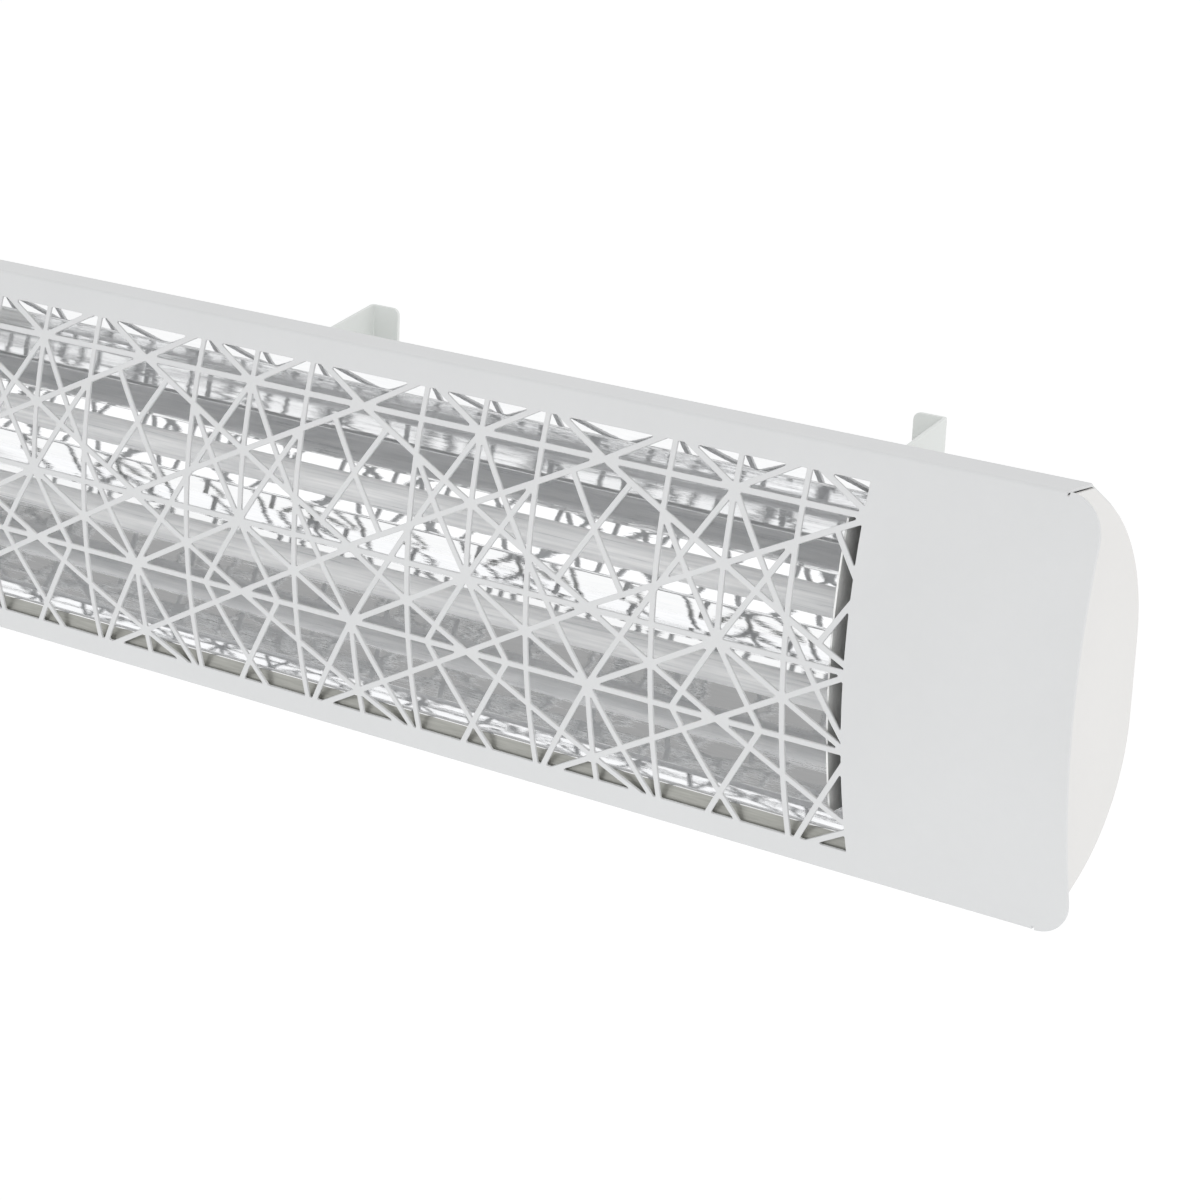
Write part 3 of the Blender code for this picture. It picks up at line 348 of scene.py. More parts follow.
def sheetMetal(name, low, high, roughness, spread, waves, waveScale=45.0, lines=0.0, metallic=1.0):
    made, tree, shader = newMaterial(name, metallic)
    marks = useGroup(tree, rollingLines, {"Base roughness": roughness, "Roughness spread": spread,
                                          "Wave scale": waveScale})
    height = mathNode(tree, 'ADD', marks["Waves"], scaled(tree, marks["Lines"], lines))
    dress(tree, shader, mixColours(tree, marks["Lines"], low, high), height, 1.0, waves, marks["Roughness"])
    return made


def speckledMaterial(name, low, high, roughness, scale, bump=0.00005, metallic=0.0):
    made, tree, shader = newMaterial(name, metallic, Roughness=roughness)
    speck = noise(tree, objectPlace(tree), scale, 3.0, 0.6)
    dress(tree, shader, mixColours(tree, speck, low, high), speck, 0.4, bump)
    return made


def quartzMaterial():
    made, tree, shader = newMaterial("milkyQuartz", IOR=1.46, Transmission_Weight=0.12)
    marks = useGroup(tree, rollingLines, {"Base roughness": 0.34, "Roughness spread": 0.4,
                                          "Line scale": 520.0, "Wave scale": 120.0, "Stretch": 0.03})
    milk = mixColours(tree, marks["Lines"], (0.74, 0.75, 0.76), (1.0, 1.0, 1.0))
    dress(tree, shader, milk, marks["Waves"], 0.5, 0.0002, marks["Roughness"])
    return made


def edgeShadeMaterial():
    # painted shade: the casing's back edge is painted near-black low down, where the gap behind the cap lies
    # in shade, and light grey higher up, where light falls from above
    made, tree, shader = newMaterial("cutEdge", 0.4, Roughness=0.5)
    place = objectPlace(tree)
    height = addNode(tree, 'ShaderNodeSeparateXYZ', Vector=place).outputs["Z"]
    ragged = noise(tree, place, 60.0, 3.0)
    edge = mathNode(tree, 'ADD', height, scaled(tree, ragged, 0.03))
    litAmount = addNode(tree, 'ShaderNodeMapRange', Value=edge, From_Min=0.02, From_Max=0.06,
                   To_Min=0.2, To_Max=0.8)
    colour = mixColours(tree, litAmount.outputs[0], (0.05, 0.05, 0.05), (0.70, 0.71, 0.70))
    dress(tree, shader, colour, ragged, 0.3, 0.00005)
    return made


cutEdge = edgeShadeMaterial()
# painted shade: the front sheet's white is darker than the coat's own white, standing for the shade the front
# panel is in
frontWhite = coatMaterial("frontWhite", (0.660, 0.667, 0.673), (0.690, 0.697, 0.703))
# painted light: the inside white is brighter than the front's, so the shaded cavity renders lighter
insideCoat = coatMaterial("insideCoat", (0.80, 0.80, 0.79), (0.86, 0.86, 0.85), 0.5)
capWhite = coatMaterial("capWhite", (0.737, 0.729, 0.719), (0.767, 0.759, 0.749), 0.46)
casingWhite = coatMaterial("casingWhite", (0.72, 0.735, 0.725), (0.75, 0.765, 0.755))
bracketWhite = coatMaterial("bracketWhite", (0.73, 0.75, 0.735), (0.77, 0.79, 0.775), 0.4)
brightAluminium = sheetMetal("brightAluminium", (0.885, 0.89, 0.895), (0.935, 0.935, 0.94), 0.025, 0.04,
                             0.00028, 60.0, 0.05)
# painted shade: a darker olive-grey aluminium for the reflector's lower lip, standing for the shade it lies
# in
dullAluminium = sheetMetal("dullAluminium", (0.34, 0.34, 0.315), (0.44, 0.44, 0.41), 0.36, 0.2,
                           0.0001, lines=0.2, metallic=0.5)
# painted light: this steel is near-white, far lighter than grey steel, so parts deep in the shaded cavity
# don't render black
greySteel = sheetMetal("greySteel", (0.84, 0.845, 0.835), (0.92, 0.925, 0.915), 0.45, 0.2,
                       0.0001, lines=0.1, metallic=0.1)
zincPlate = speckledMaterial("zincPlate", (0.50, 0.51, 0.53), (0.68, 0.69, 0.70), 0.32, 900.0, 0.00002, 1.0)
coilWire = speckledMaterial("coilWire", (0.22, 0.19, 0.17), (0.36, 0.32, 0.29), 0.45, 1500.0, 0.00002, 1.0)
whiteCeramic = speckledMaterial("whiteCeramic", (0.74, 0.72, 0.66), (0.84, 0.82, 0.77), 0.62, 420.0)
blackPlastic = speckledMaterial("blackPlastic", (0.028, 0.028, 0.03), (0.045, 0.045, 0.047), 0.45, 1400.0)
wovenSleeve = speckledMaterial("wovenSleeve", (0.55, 0.53, 0.48), (0.78, 0.76, 0.70), 0.85, 2200.0, 0.0002)
milkyQuartz = quartzMaterial()
print("materials made")


# ---------- sheet parts: a flat pattern, cut and then bent along a profile ----------

def makeBendSheet():
    # the pattern lies in X (stays) and Z (follows the profile), with its front at Y 0
    tree, put = geometryTree("bendSheet", [
        ("Profile", 'Object', None), ("Half run", 'Float', 0.1), ("Plain profile", 'Object', None),
        ("Plain half run", 'Float', 0.1), ("Tab edge", 'Float', 10.0), ("Sheet", 'Float', 0.001),
        ("Chamfer", 'Float', 0.0002)])
    # the back is the front mirrored, and walls join their edges
    shift = addNode(tree, 'ShaderNodeCombineXYZ', Y=put["Sheet"])
    back = addNode(tree, 'GeometryNodeTransform', Geometry=put["Geometry"], Translation=shift.outputs[0],
                   Scale=(1, -1, 1))
    back = addNode(tree, 'GeometryNodeFlipFaces', Mesh=back.outputs[0])
    neighbours = addNode(tree, 'GeometryNodeInputMeshEdgeNeighbors')
    rim = addNode(tree, 'FunctionNodeCompare', {"data_type": 'INT', "operation": 'EQUAL'},
                  A=neighbours.outputs[0], B=1)
    depth = mathNode(tree, 'SUBTRACT', put["Sheet"], scaled(tree, put["Chamfer"], 2.0))
    wallRun = addNode(tree, 'ShaderNodeCombineXYZ', Y=depth)
    walls = addNode(tree, 'GeometryNodeExtrudeMesh', {"mode": 'EDGES'}, Mesh=put["Geometry"],
                    Selection=rim.outputs[0], Offset=wallRun.outputs[0], Offset_Scale=1.0)
    joined = tree.nodes.new('GeometryNodeJoinGeometry')
    for side in (back, walls):
        tree.links.new(side.outputs[0], joined.inputs[0])
    closed = addNode(tree, 'GeometryNodeMergeByDistance', Geometry=joined.outputs[0], Distance=0.00001)
    # bend: Z becomes length along the profile, Y goes inwards from it
    place = addNode(tree, 'GeometryNodeInputPosition').outputs[0]
    flat = addNode(tree, 'ShaderNodeSeparateXYZ', Vector=place).outputs
    bends = []
    for profile, run in (("Profile", "Half run"), ("Plain profile", "Plain half run")):
        curve = addNode(tree, 'GeometryNodeObjectInfo', Object=put[profile])
        length = mathNode(tree, 'ADD', flat["Z"], put[run])
        sample = addNode(tree, 'GeometryNodeSampleCurve', {"mode": 'LENGTH'},
                         Curves=curve.outputs["Geometry"], Length=length).outputs
        at = addNode(tree, 'ShaderNodeSeparateXYZ', Vector=sample["Position"]).outputs
        way = addNode(tree, 'ShaderNodeSeparateXYZ', Vector=sample["Tangent"]).outputs
        bentY = mathNode(tree, 'ADD', at["Y"], scaled(tree, way["Z"], flat["Y"]))
        bentZ = mathNode(tree, 'SUBTRACT', at["Z"], scaled(tree, way["Y"], flat["Y"]))
        bends.append(addNode(tree, 'ShaderNodeCombineXYZ', X=flat["X"], Y=bentY, Z=bentZ).outputs[0])
    outside = mathNode(tree, 'GREATER_THAN', mathNode(tree, 'ABSOLUTE', flat["X"]), put["Tab edge"])
    mixed = addNode(tree, 'ShaderNodeMix', {"data_type": 'VECTOR'}, Factor=outside, A=bends[0], B=bends[1])
    bent = addNode(tree, 'GeometryNodeSetPosition', Geometry=closed.outputs[0], Position=liveOutput(mixed))
    return endTree(tree, put, bent.outputs[0])


bendSheet = makeBendSheet()


def flatPattern(name, loops, lines, chamfer):
    # front face of a flat pattern, with a narrow chamfer round every edge; lines are where it may bend
    points, faces, edges = [], [], []
    for loop in loops:
        loop = [Vector(corner) for corner in loop]
        if sum(before.cross(corner) for before, corner in zip(loop[-1:] + loop[:-1], loop)) < 0:
            loop.reverse()
        faces.append(tuple(range(len(points), len(points) + len(loop))))
        points.extend(loop)
    for start, end in lines:
        edges.append((len(points), len(points) + 1))
        points.extend((Vector(start), Vector(end)))
    corners, _, triangles, _, _, owners = delaunay_2d_cdt(points, edges, faces, 1, 1e-7)
    # the first loop is the outline, and anything inside another loop is a hole
    triangles = [triangle for triangle, owner in zip(triangles, owners) if list(owner) == [0]]
    sides = {}
    for triangle in triangles:
        for a, b in zip(triangle, triangle[1:] + triangle[:1]):
            sides[(a, b)] = sides.get((a, b), 0) + 1
    rim = [(a, b) for a, b in sides if (b, a) not in sides]
    outward = {}
    for a, b in rim:
        way = (corners[b] - corners[a]).normalized()
        for index in (a, b):
            outward.setdefault(index, []).append(Vector((way.y, -way.x)))
    verts = []
    for index, corner in enumerate(corners):
        if index in outward:
            first, last = outward[index][0], outward[index][-1]
            corner = corner - (first + last) * (chamfer / max(0.35, 1 + first.dot(last)))
        verts.append((corner.x, 0, corner.y))
    made = [tuple(triangle) for triangle in triangles]
    ringOf = {}
    for index in outward:
        ringOf[index] = len(verts)
        verts.append((corners[index].x, chamfer, corners[index].y))
    for a, b in rim:
        made.append((a, ringOf[a], ringOf[b], b))
    return newObject(name, meshFrom(name, verts, made))


def profileCurve(name, points):
    # (y, z) points of a bending profile
    curve = bpy.data.curves.new(name, 'CURVE')
    curve.dimensions = '3D'
    spline = curve.splines.new('POLY')
    spline.points.add(len(points) - 1)
    for point, (y, z) in zip(spline.points, points):
        point.co = (0, y, z, 1)
    obj = newObject(name, curve)
    obj.hide_render = True
    return obj


def roundCorner(before, corner, after, radius, steps):
    # arc points that replace a corner, with the radius held back where the sides are short
    back, on = (before - corner), (after - corner)
    angle = back.angle(on)
    if angle > radians(176) or radius <= 0:
        return [corner]
    reach = min(radius / tan(angle / 2), back.length * 0.45, on.length * 0.45)
    radius = reach * tan(angle / 2)
    back, on = back.normalized(), on.normalized()
    centre = corner + (back + on).normalized() * (radius / sin(angle / 2))
    start, end = corner + back * reach - centre, corner + on * reach - centre
    turn = atan2(start.cross(end), start.dot(end))
    return [centre + Matrix.Rotation(turn * step / steps, 2) @ start for step in range(steps + 1)]


def roundLoop(loop, radius, steps=3):
    points = [Vector(point) for point in loop]
    made = []
    for before, corner, after in zip(points[-1:] + points[:-1], points, points[1:] + points[:1]):
        made.extend(roundCorner(before, corner, after, radius, steps))
    return made


# ---------- front sheet with its lattice ----------

front = {
    "length": 0.991, "height": 0.208, "bow": 0.0174, "sheet": 0.0015, "cornerRadius": 0.020,
    "flangeDepth": 0.0246, "flangeDrop": 0.0012, "foldRadius": 0.0021, "reliefWidth": 0.0015,
    "reliefDepth": 0.0016, "tabCorner": 0.0012,
    "openingEndMargin": 0.1195, "openingEdgeMargin": 0.0135, "barWidth": 0.0029, "pitch": 0.1524,
    "topRowInset": 0.0155, "bottomRowInset": 0.0130, "midRow": 0.0015, "lowLineLift": 0.0015,
    "cellFillet": 0.0006, "chamfer": 0.00022, "bendLine": 0.0075, "smallestCell": 0.0012,
}
halfLength = front["length"] / 2
halfHeight = front["height"] / 2
capX = halfLength - front["cornerRadius"]
openX = halfLength - front["openingEndMargin"]
openZ = halfHeight - front["openingEdgeMargin"]
bowRadius = (halfHeight ** 2 + front["bow"] ** 2) / (2 * front["bow"])


def bowAt(height):
    return bowRadius - front["bow"] - sqrt(bowRadius ** 2 - height ** 2)


def unrolled(height):
    # length along the bow from the middle
    return bowRadius * asin(height / bowRadius)


def latticeBars():
    # centre lines of the straight bars in half a column; the other columns mirror it
    half, quarter = front["pitch"] / 2, front["pitch"] / 4
    top, mid = openZ - front["topRowInset"], front["midRow"]
    bottom = -openZ + front["bottomRowInset"]
    low, beyond, lift = (mid + bottom) / 2, 2 * openZ, front["lowLineLift"]
    cross = (top + mid) / 2 + 0.001
    high, falling = ((half, top), (0, cross)), ((0, cross), (half, mid + lift))

    def onHigh(across):
        return cross + (top - cross) * across / half

    knot = (half, top - (top - cross) * 0.95)
    upperFork = intersect_line_line_2d(*high, knot, (0, knot[1] + half * 1.45))
    lowerFork = intersect_line_line_2d(*falling, knot, (0, knot[1] - half * 1.45))
    diamond = ((half + quarter) * 0.227, low)
    rows = [((0, level), (half, level)) for level in (top, mid, low)]
    posts = [((0, beyond), (0, mid)), ((quarter, beyond), (quarter, -beyond)), ((half, low), (half, -beyond))]
    slopes = [
        ((0, top), (half, top + half * 0.52)), ((half, top), (0, top + half * 0.52)), high, falling,
        ((half, mid + lift), (half, mid)), ((0, top), (half, low)), (tuple(upperFork), knot),
        (knot, tuple(lowerFork)), ((0, mid), (quarter, onHigh(quarter))), ((0, mid), (half, low)),
        ((0, low), (half, mid)), ((0, mid), diamond), (diamond, (0, bottom)),
        ((0, bottom), (half / 2, bottom - half * 0.75)), ((0, low), (half, bottom)),
        ((half, low), (half - beyond / 1.584, low - beyond)), ((half, bottom), (0, bottom - half * 0.52)),
    ]
    return rows + posts + slopes


def cutBack(loop):
    # a convex cell less half a bar on each side, but not where it meets the opening's own edge
    if sum(loop[i - 1].cross(loop[i]) for i in range(len(loop))) < 0:
        loop = loop[::-1]
    kept = list(loop)
    for start, end in zip(loop, loop[1:] + loop[:1]):
        side = (end - start).normalized()
        inwards = Vector((-side.y, side.x))
        border = any(abs(abs(start[axis]) - edge) < 1e-6 and abs(start[axis] - end[axis]) < 1e-6
                     for axis, edge in ((0, openX), (1, openZ)))
        inset = 0.0 if border else front["barWidth"] / 2
        clipped = []
        for here, following in zip(kept, kept[1:] + kept[:1]):
            a, b = (here - start).dot(inwards) - inset, (following - start).dot(inwards) - inset
            if a >= 0:
                clipped.append(here)
            if a * b < 0:
                clipped.append(here.lerp(following, a / (a - b)))
        kept = clipped
        if len(kept) < 3:
            return None
    kept = [here for here, before in zip(kept, kept[-1:] + kept[:-1]) if (here - before).length > 1e-5]
    for start, end in zip(kept, kept[1:] + kept[:1]):
        side = (end - start).normalized()
        if max((corner - start).dot(Vector((-side.y, side.x))) for corner in kept) < front["smallestCell"]:
            return None
    return kept if len(kept) > 2 else None


def latticeCells():
    opening = ((-openX, -openZ), (openX, -openZ), (openX, openZ), (-openX, openZ))
    points = [Vector(corner) for corner in opening]
    edges, seen = [], set()
    columns = int(openX / front["pitch"]) + 1
    for column in range(-columns, columns + 1):
        for side in (-1, 1):
            for start, end in latticeBars():
                ends = [(round(column * front["pitch"] + side * across, 7), round(up, 7))
                        for across, up in (start, end)]
                key = tuple(sorted(ends))
                if key not in seen:
                    seen.add(key)
                    edges.append((len(points), len(points) + 1))
                    points.extend(Vector(place) for place in ends)
    corners, _, faces, *_ = delaunay_2d_cdt(points, edges, [(0, 1, 2, 3)], 3, 1e-6)
    cells = []
    for face in faces:
        loop = [corners[index] for index in face]
        middle = sum(loop, Vector((0, 0))) / len(loop)
        if abs(middle.x) < openX and abs(middle.y) < openZ:
            cell = cutBack(loop)
            if cell is not None:
                cells.append(roundLoop(cell, front["cellFillet"]))
    return cells


def foldProfile():
    # half of the bent section: along the bow, round the fold and back along the flange
    topAngle = asin(halfHeight / bowRadius)
    rise = Vector((sin(topAngle), cos(topAngle)))
    flangeEnd = Vector((yAt(front["flangeDepth"]), halfHeight - front["flangeDrop"]))
    corner = Vector((yAt(0), halfHeight))
    run = (flangeEnd - corner).normalized()
    turn = rise.angle(run)
    reach = front["foldRadius"] * tan(turn / 2)
    foldStart = unrolled(halfHeight) - reach
    steps, startAngle = 60, foldStart / bowRadius
    heights = [bowRadius * sin(startAngle * step / steps) for step in range(steps + 1)]
    points = [Vector((yAt(bowAt(height)), height)) for height in heights]
    centre = points[-1] + Vector((cos(startAngle), -sin(startAngle))) * front["foldRadius"]
    foldSteps = 8
    for step in range(1, foldSteps + 1):
        spin = Matrix.Rotation(-turn * step / foldSteps, 2)
        points.append(centre + spin @ (points[steps] - centre))
    foldEnd = foldStart + front["foldRadius"] * turn
    last = points[-1]
    along = (flangeEnd - last).length
    points.append(last + run * along)
    return points, foldStart, foldEnd, foldEnd + along


def makeFront():
    half, foldStart, foldEnd, tabEnd = foldProfile()
    profile = profileCurve("foldProfile", flipped(half[1:]) + half)
    plain = [(yAt(bowAt(halfHeight * step / 60)), halfHeight * step / 60) for step in range(-60, 61)]
    plainProfile = profileCurve("bowProfile", plain)
    # a quarter of the outline: round corner, relief notch, flange tab
    radius, notch, tabCorner = front["cornerRadius"], front["reliefWidth"] / 2, front["tabCorner"]
    corner = arcPoints(capX, halfHeight - radius, radius, 0, pi / 2 - notch / radius, 12)
    quarter = [(x, unrolled(z)) for x, z in corner]
    quarter += arcPoints(capX, unrolled(halfHeight) - front["reliefDepth"], notch, 0, -pi, 4)
    quarter += [(capX - notch, tabEnd - tabCorner), (capX - notch - tabCorner, tabEnd)]
    loop = quarter + [(-x, s) for x, s in reversed(quarter)] + [(-x, -s) for x, s in quarter] + \
        [(x, -s) for x, s in reversed(quarter)]
    loops = [loop] + [[(p.x, unrolled(p.y)) for p in cell] for cell in latticeCells()]
    count = int(halfHeight / front["bendLine"])
    levels = [unrolled(halfHeight * step / (count + 0.5)) for step in range(-count, count + 1)]
    for step in range(7):
        level = foldStart + (foldEnd - foldStart) * step / 6
        levels += [level, -level]
    reach = halfLength + 0.01
    lines = [((-reach, level), (reach, level)) for level in levels]
    obj = flatPattern("frontSheet", loops, lines, front["chamfer"])
    runTree(obj, bendSheet, {
        "Profile": profile, "Half run": tabEnd, "Plain profile": plainProfile,
        "Plain half run": unrolled(halfHeight), "Tab edge": capX, "Sheet": front["sheet"],
        "Chamfer": front["chamfer"], "Material": frontWhite})
    obj = bakeShape(obj)
    for helper in (profile, plainProfile):
        bpy.data.objects.remove(helper)
    finishPiece(obj, None, "heater", ["fascia_panel"], 28)
    # painted light: the inner face gets a brighter white than the front, so the shaded cavity and the gap
    # behind the lattice show lighter
    innerY = yAt(front["sheet"] + 0.0006)
    secondFinish(obj, insideCoat, lambda face: face.normal.y > 0.6 and face.center.y < innerY)


makeFront()
print("front sheet bent")


# ---------- rear casing and end caps ----------

casing = {
    "sheet": 0.0010, "depth": 0.080, "frontDepth": 0.0030, "shoulderAngle": radians(32.6),
    "backRadius": 0.085, "arcSteps": 28, "shoulderRadius": 0.003, "capSheet": 0.0012, "capInset": 0.0008,
    "capRim": 0.012,
}
shoulderZ = halfHeight - front["flangeDrop"] - front["sheet"] - gap


def casingHalf(inset=0.0):
    # upper half of the casing's outer line, (depth, z), front to back
    shoulder = Vector((front["flangeDepth"], shoulderZ))
    along = Vector((cos(casing["shoulderAngle"]), -sin(casing["shoulderAngle"])))
    normal = Vector((-along.y, along.x))
    back, radius = casing["depth"] - inset, casing["backRadius"] - inset
    slope = front["flangeDrop"] / front["flangeDepth"]
    frontZ = shoulderZ + slope * (front["flangeDepth"] - casing["frontDepth"]) - inset
    start = shoulder - normal * inset
    shift = (frontZ - slope * (start.x - casing["frontDepth"]) - start.y) / (along.y + slope)
    bend = start + along * shift
    centre = Vector((back - radius, 0))
    centre.y = (start + along * ((centre.x + normal.x * radius - start.x) / along.x)).y - normal.y * radius
    arc = []
    for step in range(casing["arcSteps"] + 1):
        angle = atan2(normal.y, normal.x) * (1 - step / casing["arcSteps"])
        arc.append(centre + Vector((cos(angle), sin(angle))) * radius)
    first = Vector((casing["frontDepth"], frontZ))
    return [first] + roundCorner(first, bend, arc[0], casing["shoulderRadius"], 4) + arc


def drawnSheet(name, line, halfRun, sheet, cuts=1):
    # an open (depth, z) line drawn along X; the sheet goes inwards
    shape = bmesh.new()
    rows = []
    for cut in range(cuts + 1):
        x = -halfRun + 2 * halfRun * cut / cuts
        rows.append([shape.verts.new((x, yAt(p.x), p.y)) for p in line])
    for near, far in zip(rows, rows[1:]):
        for i in range(len(line) - 1):
            shape.faces.new((near[i], near[i + 1], far[i + 1], far[i]))
    obj = objectOfShape(name, shape)
    addModifier(obj, 'SOLIDIFY', thickness=abs(sheet), offset=-1 if sheet > 0 else 1, use_even_offset=True)
    return obj


def makeCasing():
    halfRun = capX - casing["capSheet"] - gap
    obj = drawnSheet("rearCasing", mirrored(casingHalf()), halfRun, casing["sheet"], 4)
    bevelEdges(obj, 0.0002, 1, 60)
    obj = bakeShape(obj)
    finishPiece(obj, casingWhite, "heater", ["rear_casing"], 24)
    # painted shade on the casing's end edges, darker towards the bottom
    secondFinish(obj, cutEdge, lambda face: abs(face.normal.x) > 0.9)


def capSection(inset, clearance):
    rear = mirrored(casingHalf(inset))
    half = rear[0].y
    steps = 28
    edge = [Vector((bowAt(-half + 2 * half * step / steps) + clearance, -half + 2 * half * step / steps))
            for step in range(steps + 1)]
    return rear[1:-1] + edge


def platePair(name, outer, thickness, x):
    # a flat plate across X from a closed (depth, z) outline
    count = len(outer)
    verts = [(x + side * thickness / 2, yAt(p.x), p.y) for side in (-1, 1) for p in outer]
    faces = [tuple(range(count)), tuple(range(2 * count - 1, count - 1, -1))]
    faces += [(i, (i + 1) % count, count + (i + 1) % count, count + i) for i in range(count)]
    return newObject(name, meshFrom(name, verts, faces))


def makeEndCap(label, side):
    clearance, sheet, rimWidth = front["sheet"] + 3 * gap, casing["capSheet"], casing["capRim"]
    cap = platePair("endCap" + label.title(), capSection(casing["capInset"], clearance), sheet,
                    side * (capX - sheet / 2))
    bevelEdges(cap, 0.00045, 3, 50)
    # the rim that turns in under the casing
    rimLine = mirrored(casingHalf(casing["sheet"] + 2 * gap)[1:])
    rim = drawnSheet("capRim" + label.title(), rimLine, rimWidth / 2, sheet)
    rim.location.x = side * (capX - sheet - rimWidth / 2 + 0.0002)
    for piece, replaced in ((cap, ["end_cap_" + label]), (rim, [])):
        finishPiece(bakeShape(piece), capWhite, "heater", replaced, 30)


makeCasing()
for label, side in leftRight:
    makeEndCap(label, side)
print("casing and caps made")


# ---------- reflector ----------

mirror = {
    "sheet": 0.0008, "creaseRadius": 0.0016, "ridge": (0.040, 0.0), "troughInner": (0.050, 0.025),
    "troughOuter": (0.050, 0.041), "flare": (0.015, 0.0794), "lip": (0.0003, 0.0832),
    "lipFlange": (-0.0008, 0.0915), "lipEndInset": 0.0010, "bulkheadInset": 0.0085, "bulkheadSheet": 0.0010,
    "lipTabDepth": 0.0135,
}
bulkheadX = openX - mirror["bulkheadInset"]


def makeReflector():
    half = [Vector(mirror[fold]) for fold in ("lipFlange", "lip", "flare", "troughOuter", "troughInner")]
    line = half + [Vector(mirror["ridge"])] + flipped(half)
    rounded = [line[0]]
    for before, corner, after in zip(line, line[1:], line[2:]):
        rounded += roundCorner(before, corner, after, mirror["creaseRadius"], 4)
    rounded.append(line[-1])
    obj = drawnSheet("reflectorSheet", rounded, openX - mirror["lipEndInset"], -mirror["sheet"], 1)
    # only the lips run on past the bulkheads
    inner, reach, deep = bulkheadX - mirror["bulkheadSheet"] - gap, 0.020, 0.060
    for side in (-1, 1):
        cut = boxObject("endCut", reach, deep, 2 * halfHeight)
        cut.location = (side * (inner + reach / 2), yAt(mirror["lipTabDepth"]) + deep / 2, 0)
        cutWith(obj, cut)
    obj = bakeShape(obj)
    finishPiece(obj, brightAluminium, "heater", ["reflector"], 20)
    # painted shade: the lower lip gets the darker aluminium, standing for the shade low in the opening
    secondFinish(obj, dullAluminium, lambda face: face.center.z < -mirror["lip"][1])


makeReflector()
print("reflector made")


# ---------- heating tubes ----------

tube = {
    "radius": 0.0074, "wall": 0.0011, "spacing": 0.0232, "depth": 0.0135, "overhang": 0.028,
    "coilRadius": 0.0033, "wire": 0.00028, "coilPitch": 0.0026, "socket": 0.012,
    "ceramicRadius": 0.0100, "ceramicLength": 0.026, "grooveDepth": 0.0007,
}
tubeEndX = bulkheadX + tube["overhang"]


def makeHeatingCoil():
    tree, put = geometryTree("heatingCoil", [
        ("Turns", 'Float', 100.0), ("Coil radius", 'Float', 0.003), ("Length", 'Float', 0.5),
        ("Wire radius", 'Float', 0.0003)])
    spiral = addNode(tree, 'GeometryNodeCurveSpiral', Resolution=14, Rotations=put["Turns"],
                     Start_Radius=put["Coil radius"], End_Radius=put["Coil radius"], Height=put["Length"])
    centred = addNode(tree, 'ShaderNodeCombineXYZ', X=mathNode(tree, 'MULTIPLY', put["Length"], -0.5))
    laid = addNode(tree, 'GeometryNodeTransform', Geometry=spiral.outputs[0], Translation=centred.outputs[0],
                   Rotation=(0, pi / 2, 0))
    section = addNode(tree, 'GeometryNodeCurvePrimitiveCircle', Resolution=6, Radius=put["Wire radius"])
    wire = addNode(tree, 'GeometryNodeCurveToMesh', Curve=laid.outputs[0], Profile_Curve=section.outputs[0],
                   Fill_Caps=True)
    copies = addNode(tree, 'GeometryNodeInstanceOnPoints', Points=put["Geometry"], Instance=wire.outputs[0])
    return endTree(tree, put, copies.outputs[0])


heatingCoil = makeHeatingCoil()


def makeTubes():
    y = yAt(tube["depth"])
    outer, inner, end = tube["radius"], tube["radius"] - tube["wall"], tubeEndX
    lip = tube["wall"] * 0.35
    profile = [(inner + lip, end), (outer - lip, end), (outer, end - lip), (outer, -end + lip),
               (outer - lip, -end), (inner + lip, -end), (inner, -end + lip), (inner, end - lip)]
    length = 2 * (tubeEndX - tube["socket"])
    for level, up in upperLower:
        z = up * tube["spacing"]
        obj = turned("quartzTube" + level.title(), profile, 48, True)
        obj.matrix_world = Matrix.Translation((0, y, z)) @ facing["+X"]
        finishPiece(bakeShape(obj), milkyQuartz, "heater", ["quartz_tube_" + level], 30)
        coil = newObject("heatingCoil" + level.title(), meshFrom("coilPlace", [(0, y, z)], []))
        runTree(coil, heatingCoil, {"Turns": length / tube["coilPitch"], "Coil radius": tube["coilRadius"],
                                    "Length": length, "Wire radius": tube["wire"], "Material": coilWire})
        finishPiece(bakeShape(coil), None, "heater", ["heating_coil_" + level], 60)


def makeCeramics():
    reach, radius, groove = tube["ceramicLength"], tube["ceramicRadius"], tube["grooveDepth"]
    bore, floor, pin = tube["radius"] + gap, tube["socket"] + gap, 0.0016
    profile = [(bore, 0), (bore, floor), (pin, floor), (pin, reach), (radius * 0.55, reach),
               (radius * 0.72, reach - 0.0008), (radius - 0.0006, reach * 0.86), (radius, reach * 0.80)]
    for start in (0.62, 0.52):      # two grooves
        profile += [(radius, reach * start), (radius - groove, reach * start - 0.0004),
                    (radius - groove, reach * start - 0.0012), (radius, reach * start - 0.0016)]
    profile += [(radius, 0.0008), (radius - 0.0008, 0)]
    for level, up in upperLower:
        for label, side in leftRight:
            obj = turned("ceramicEnd" + level.title() + label.title(), profile, 40, True)
            place = (side * (tubeEndX - tube["socket"]), yAt(tube["depth"]), up * tube["spacing"])
            obj.matrix_world = Matrix.Translation(place) @ facing["+X" if side > 0 else "-X"]
            finishPiece(bakeShape(obj), whiteCeramic, "heater",
                        ["ceramic_end_" + level + "_" + label], 40)


makeTubes()
makeCeramics()
print("tubes, coils and ceramics made")


# ---------- wall brackets and ears ----------

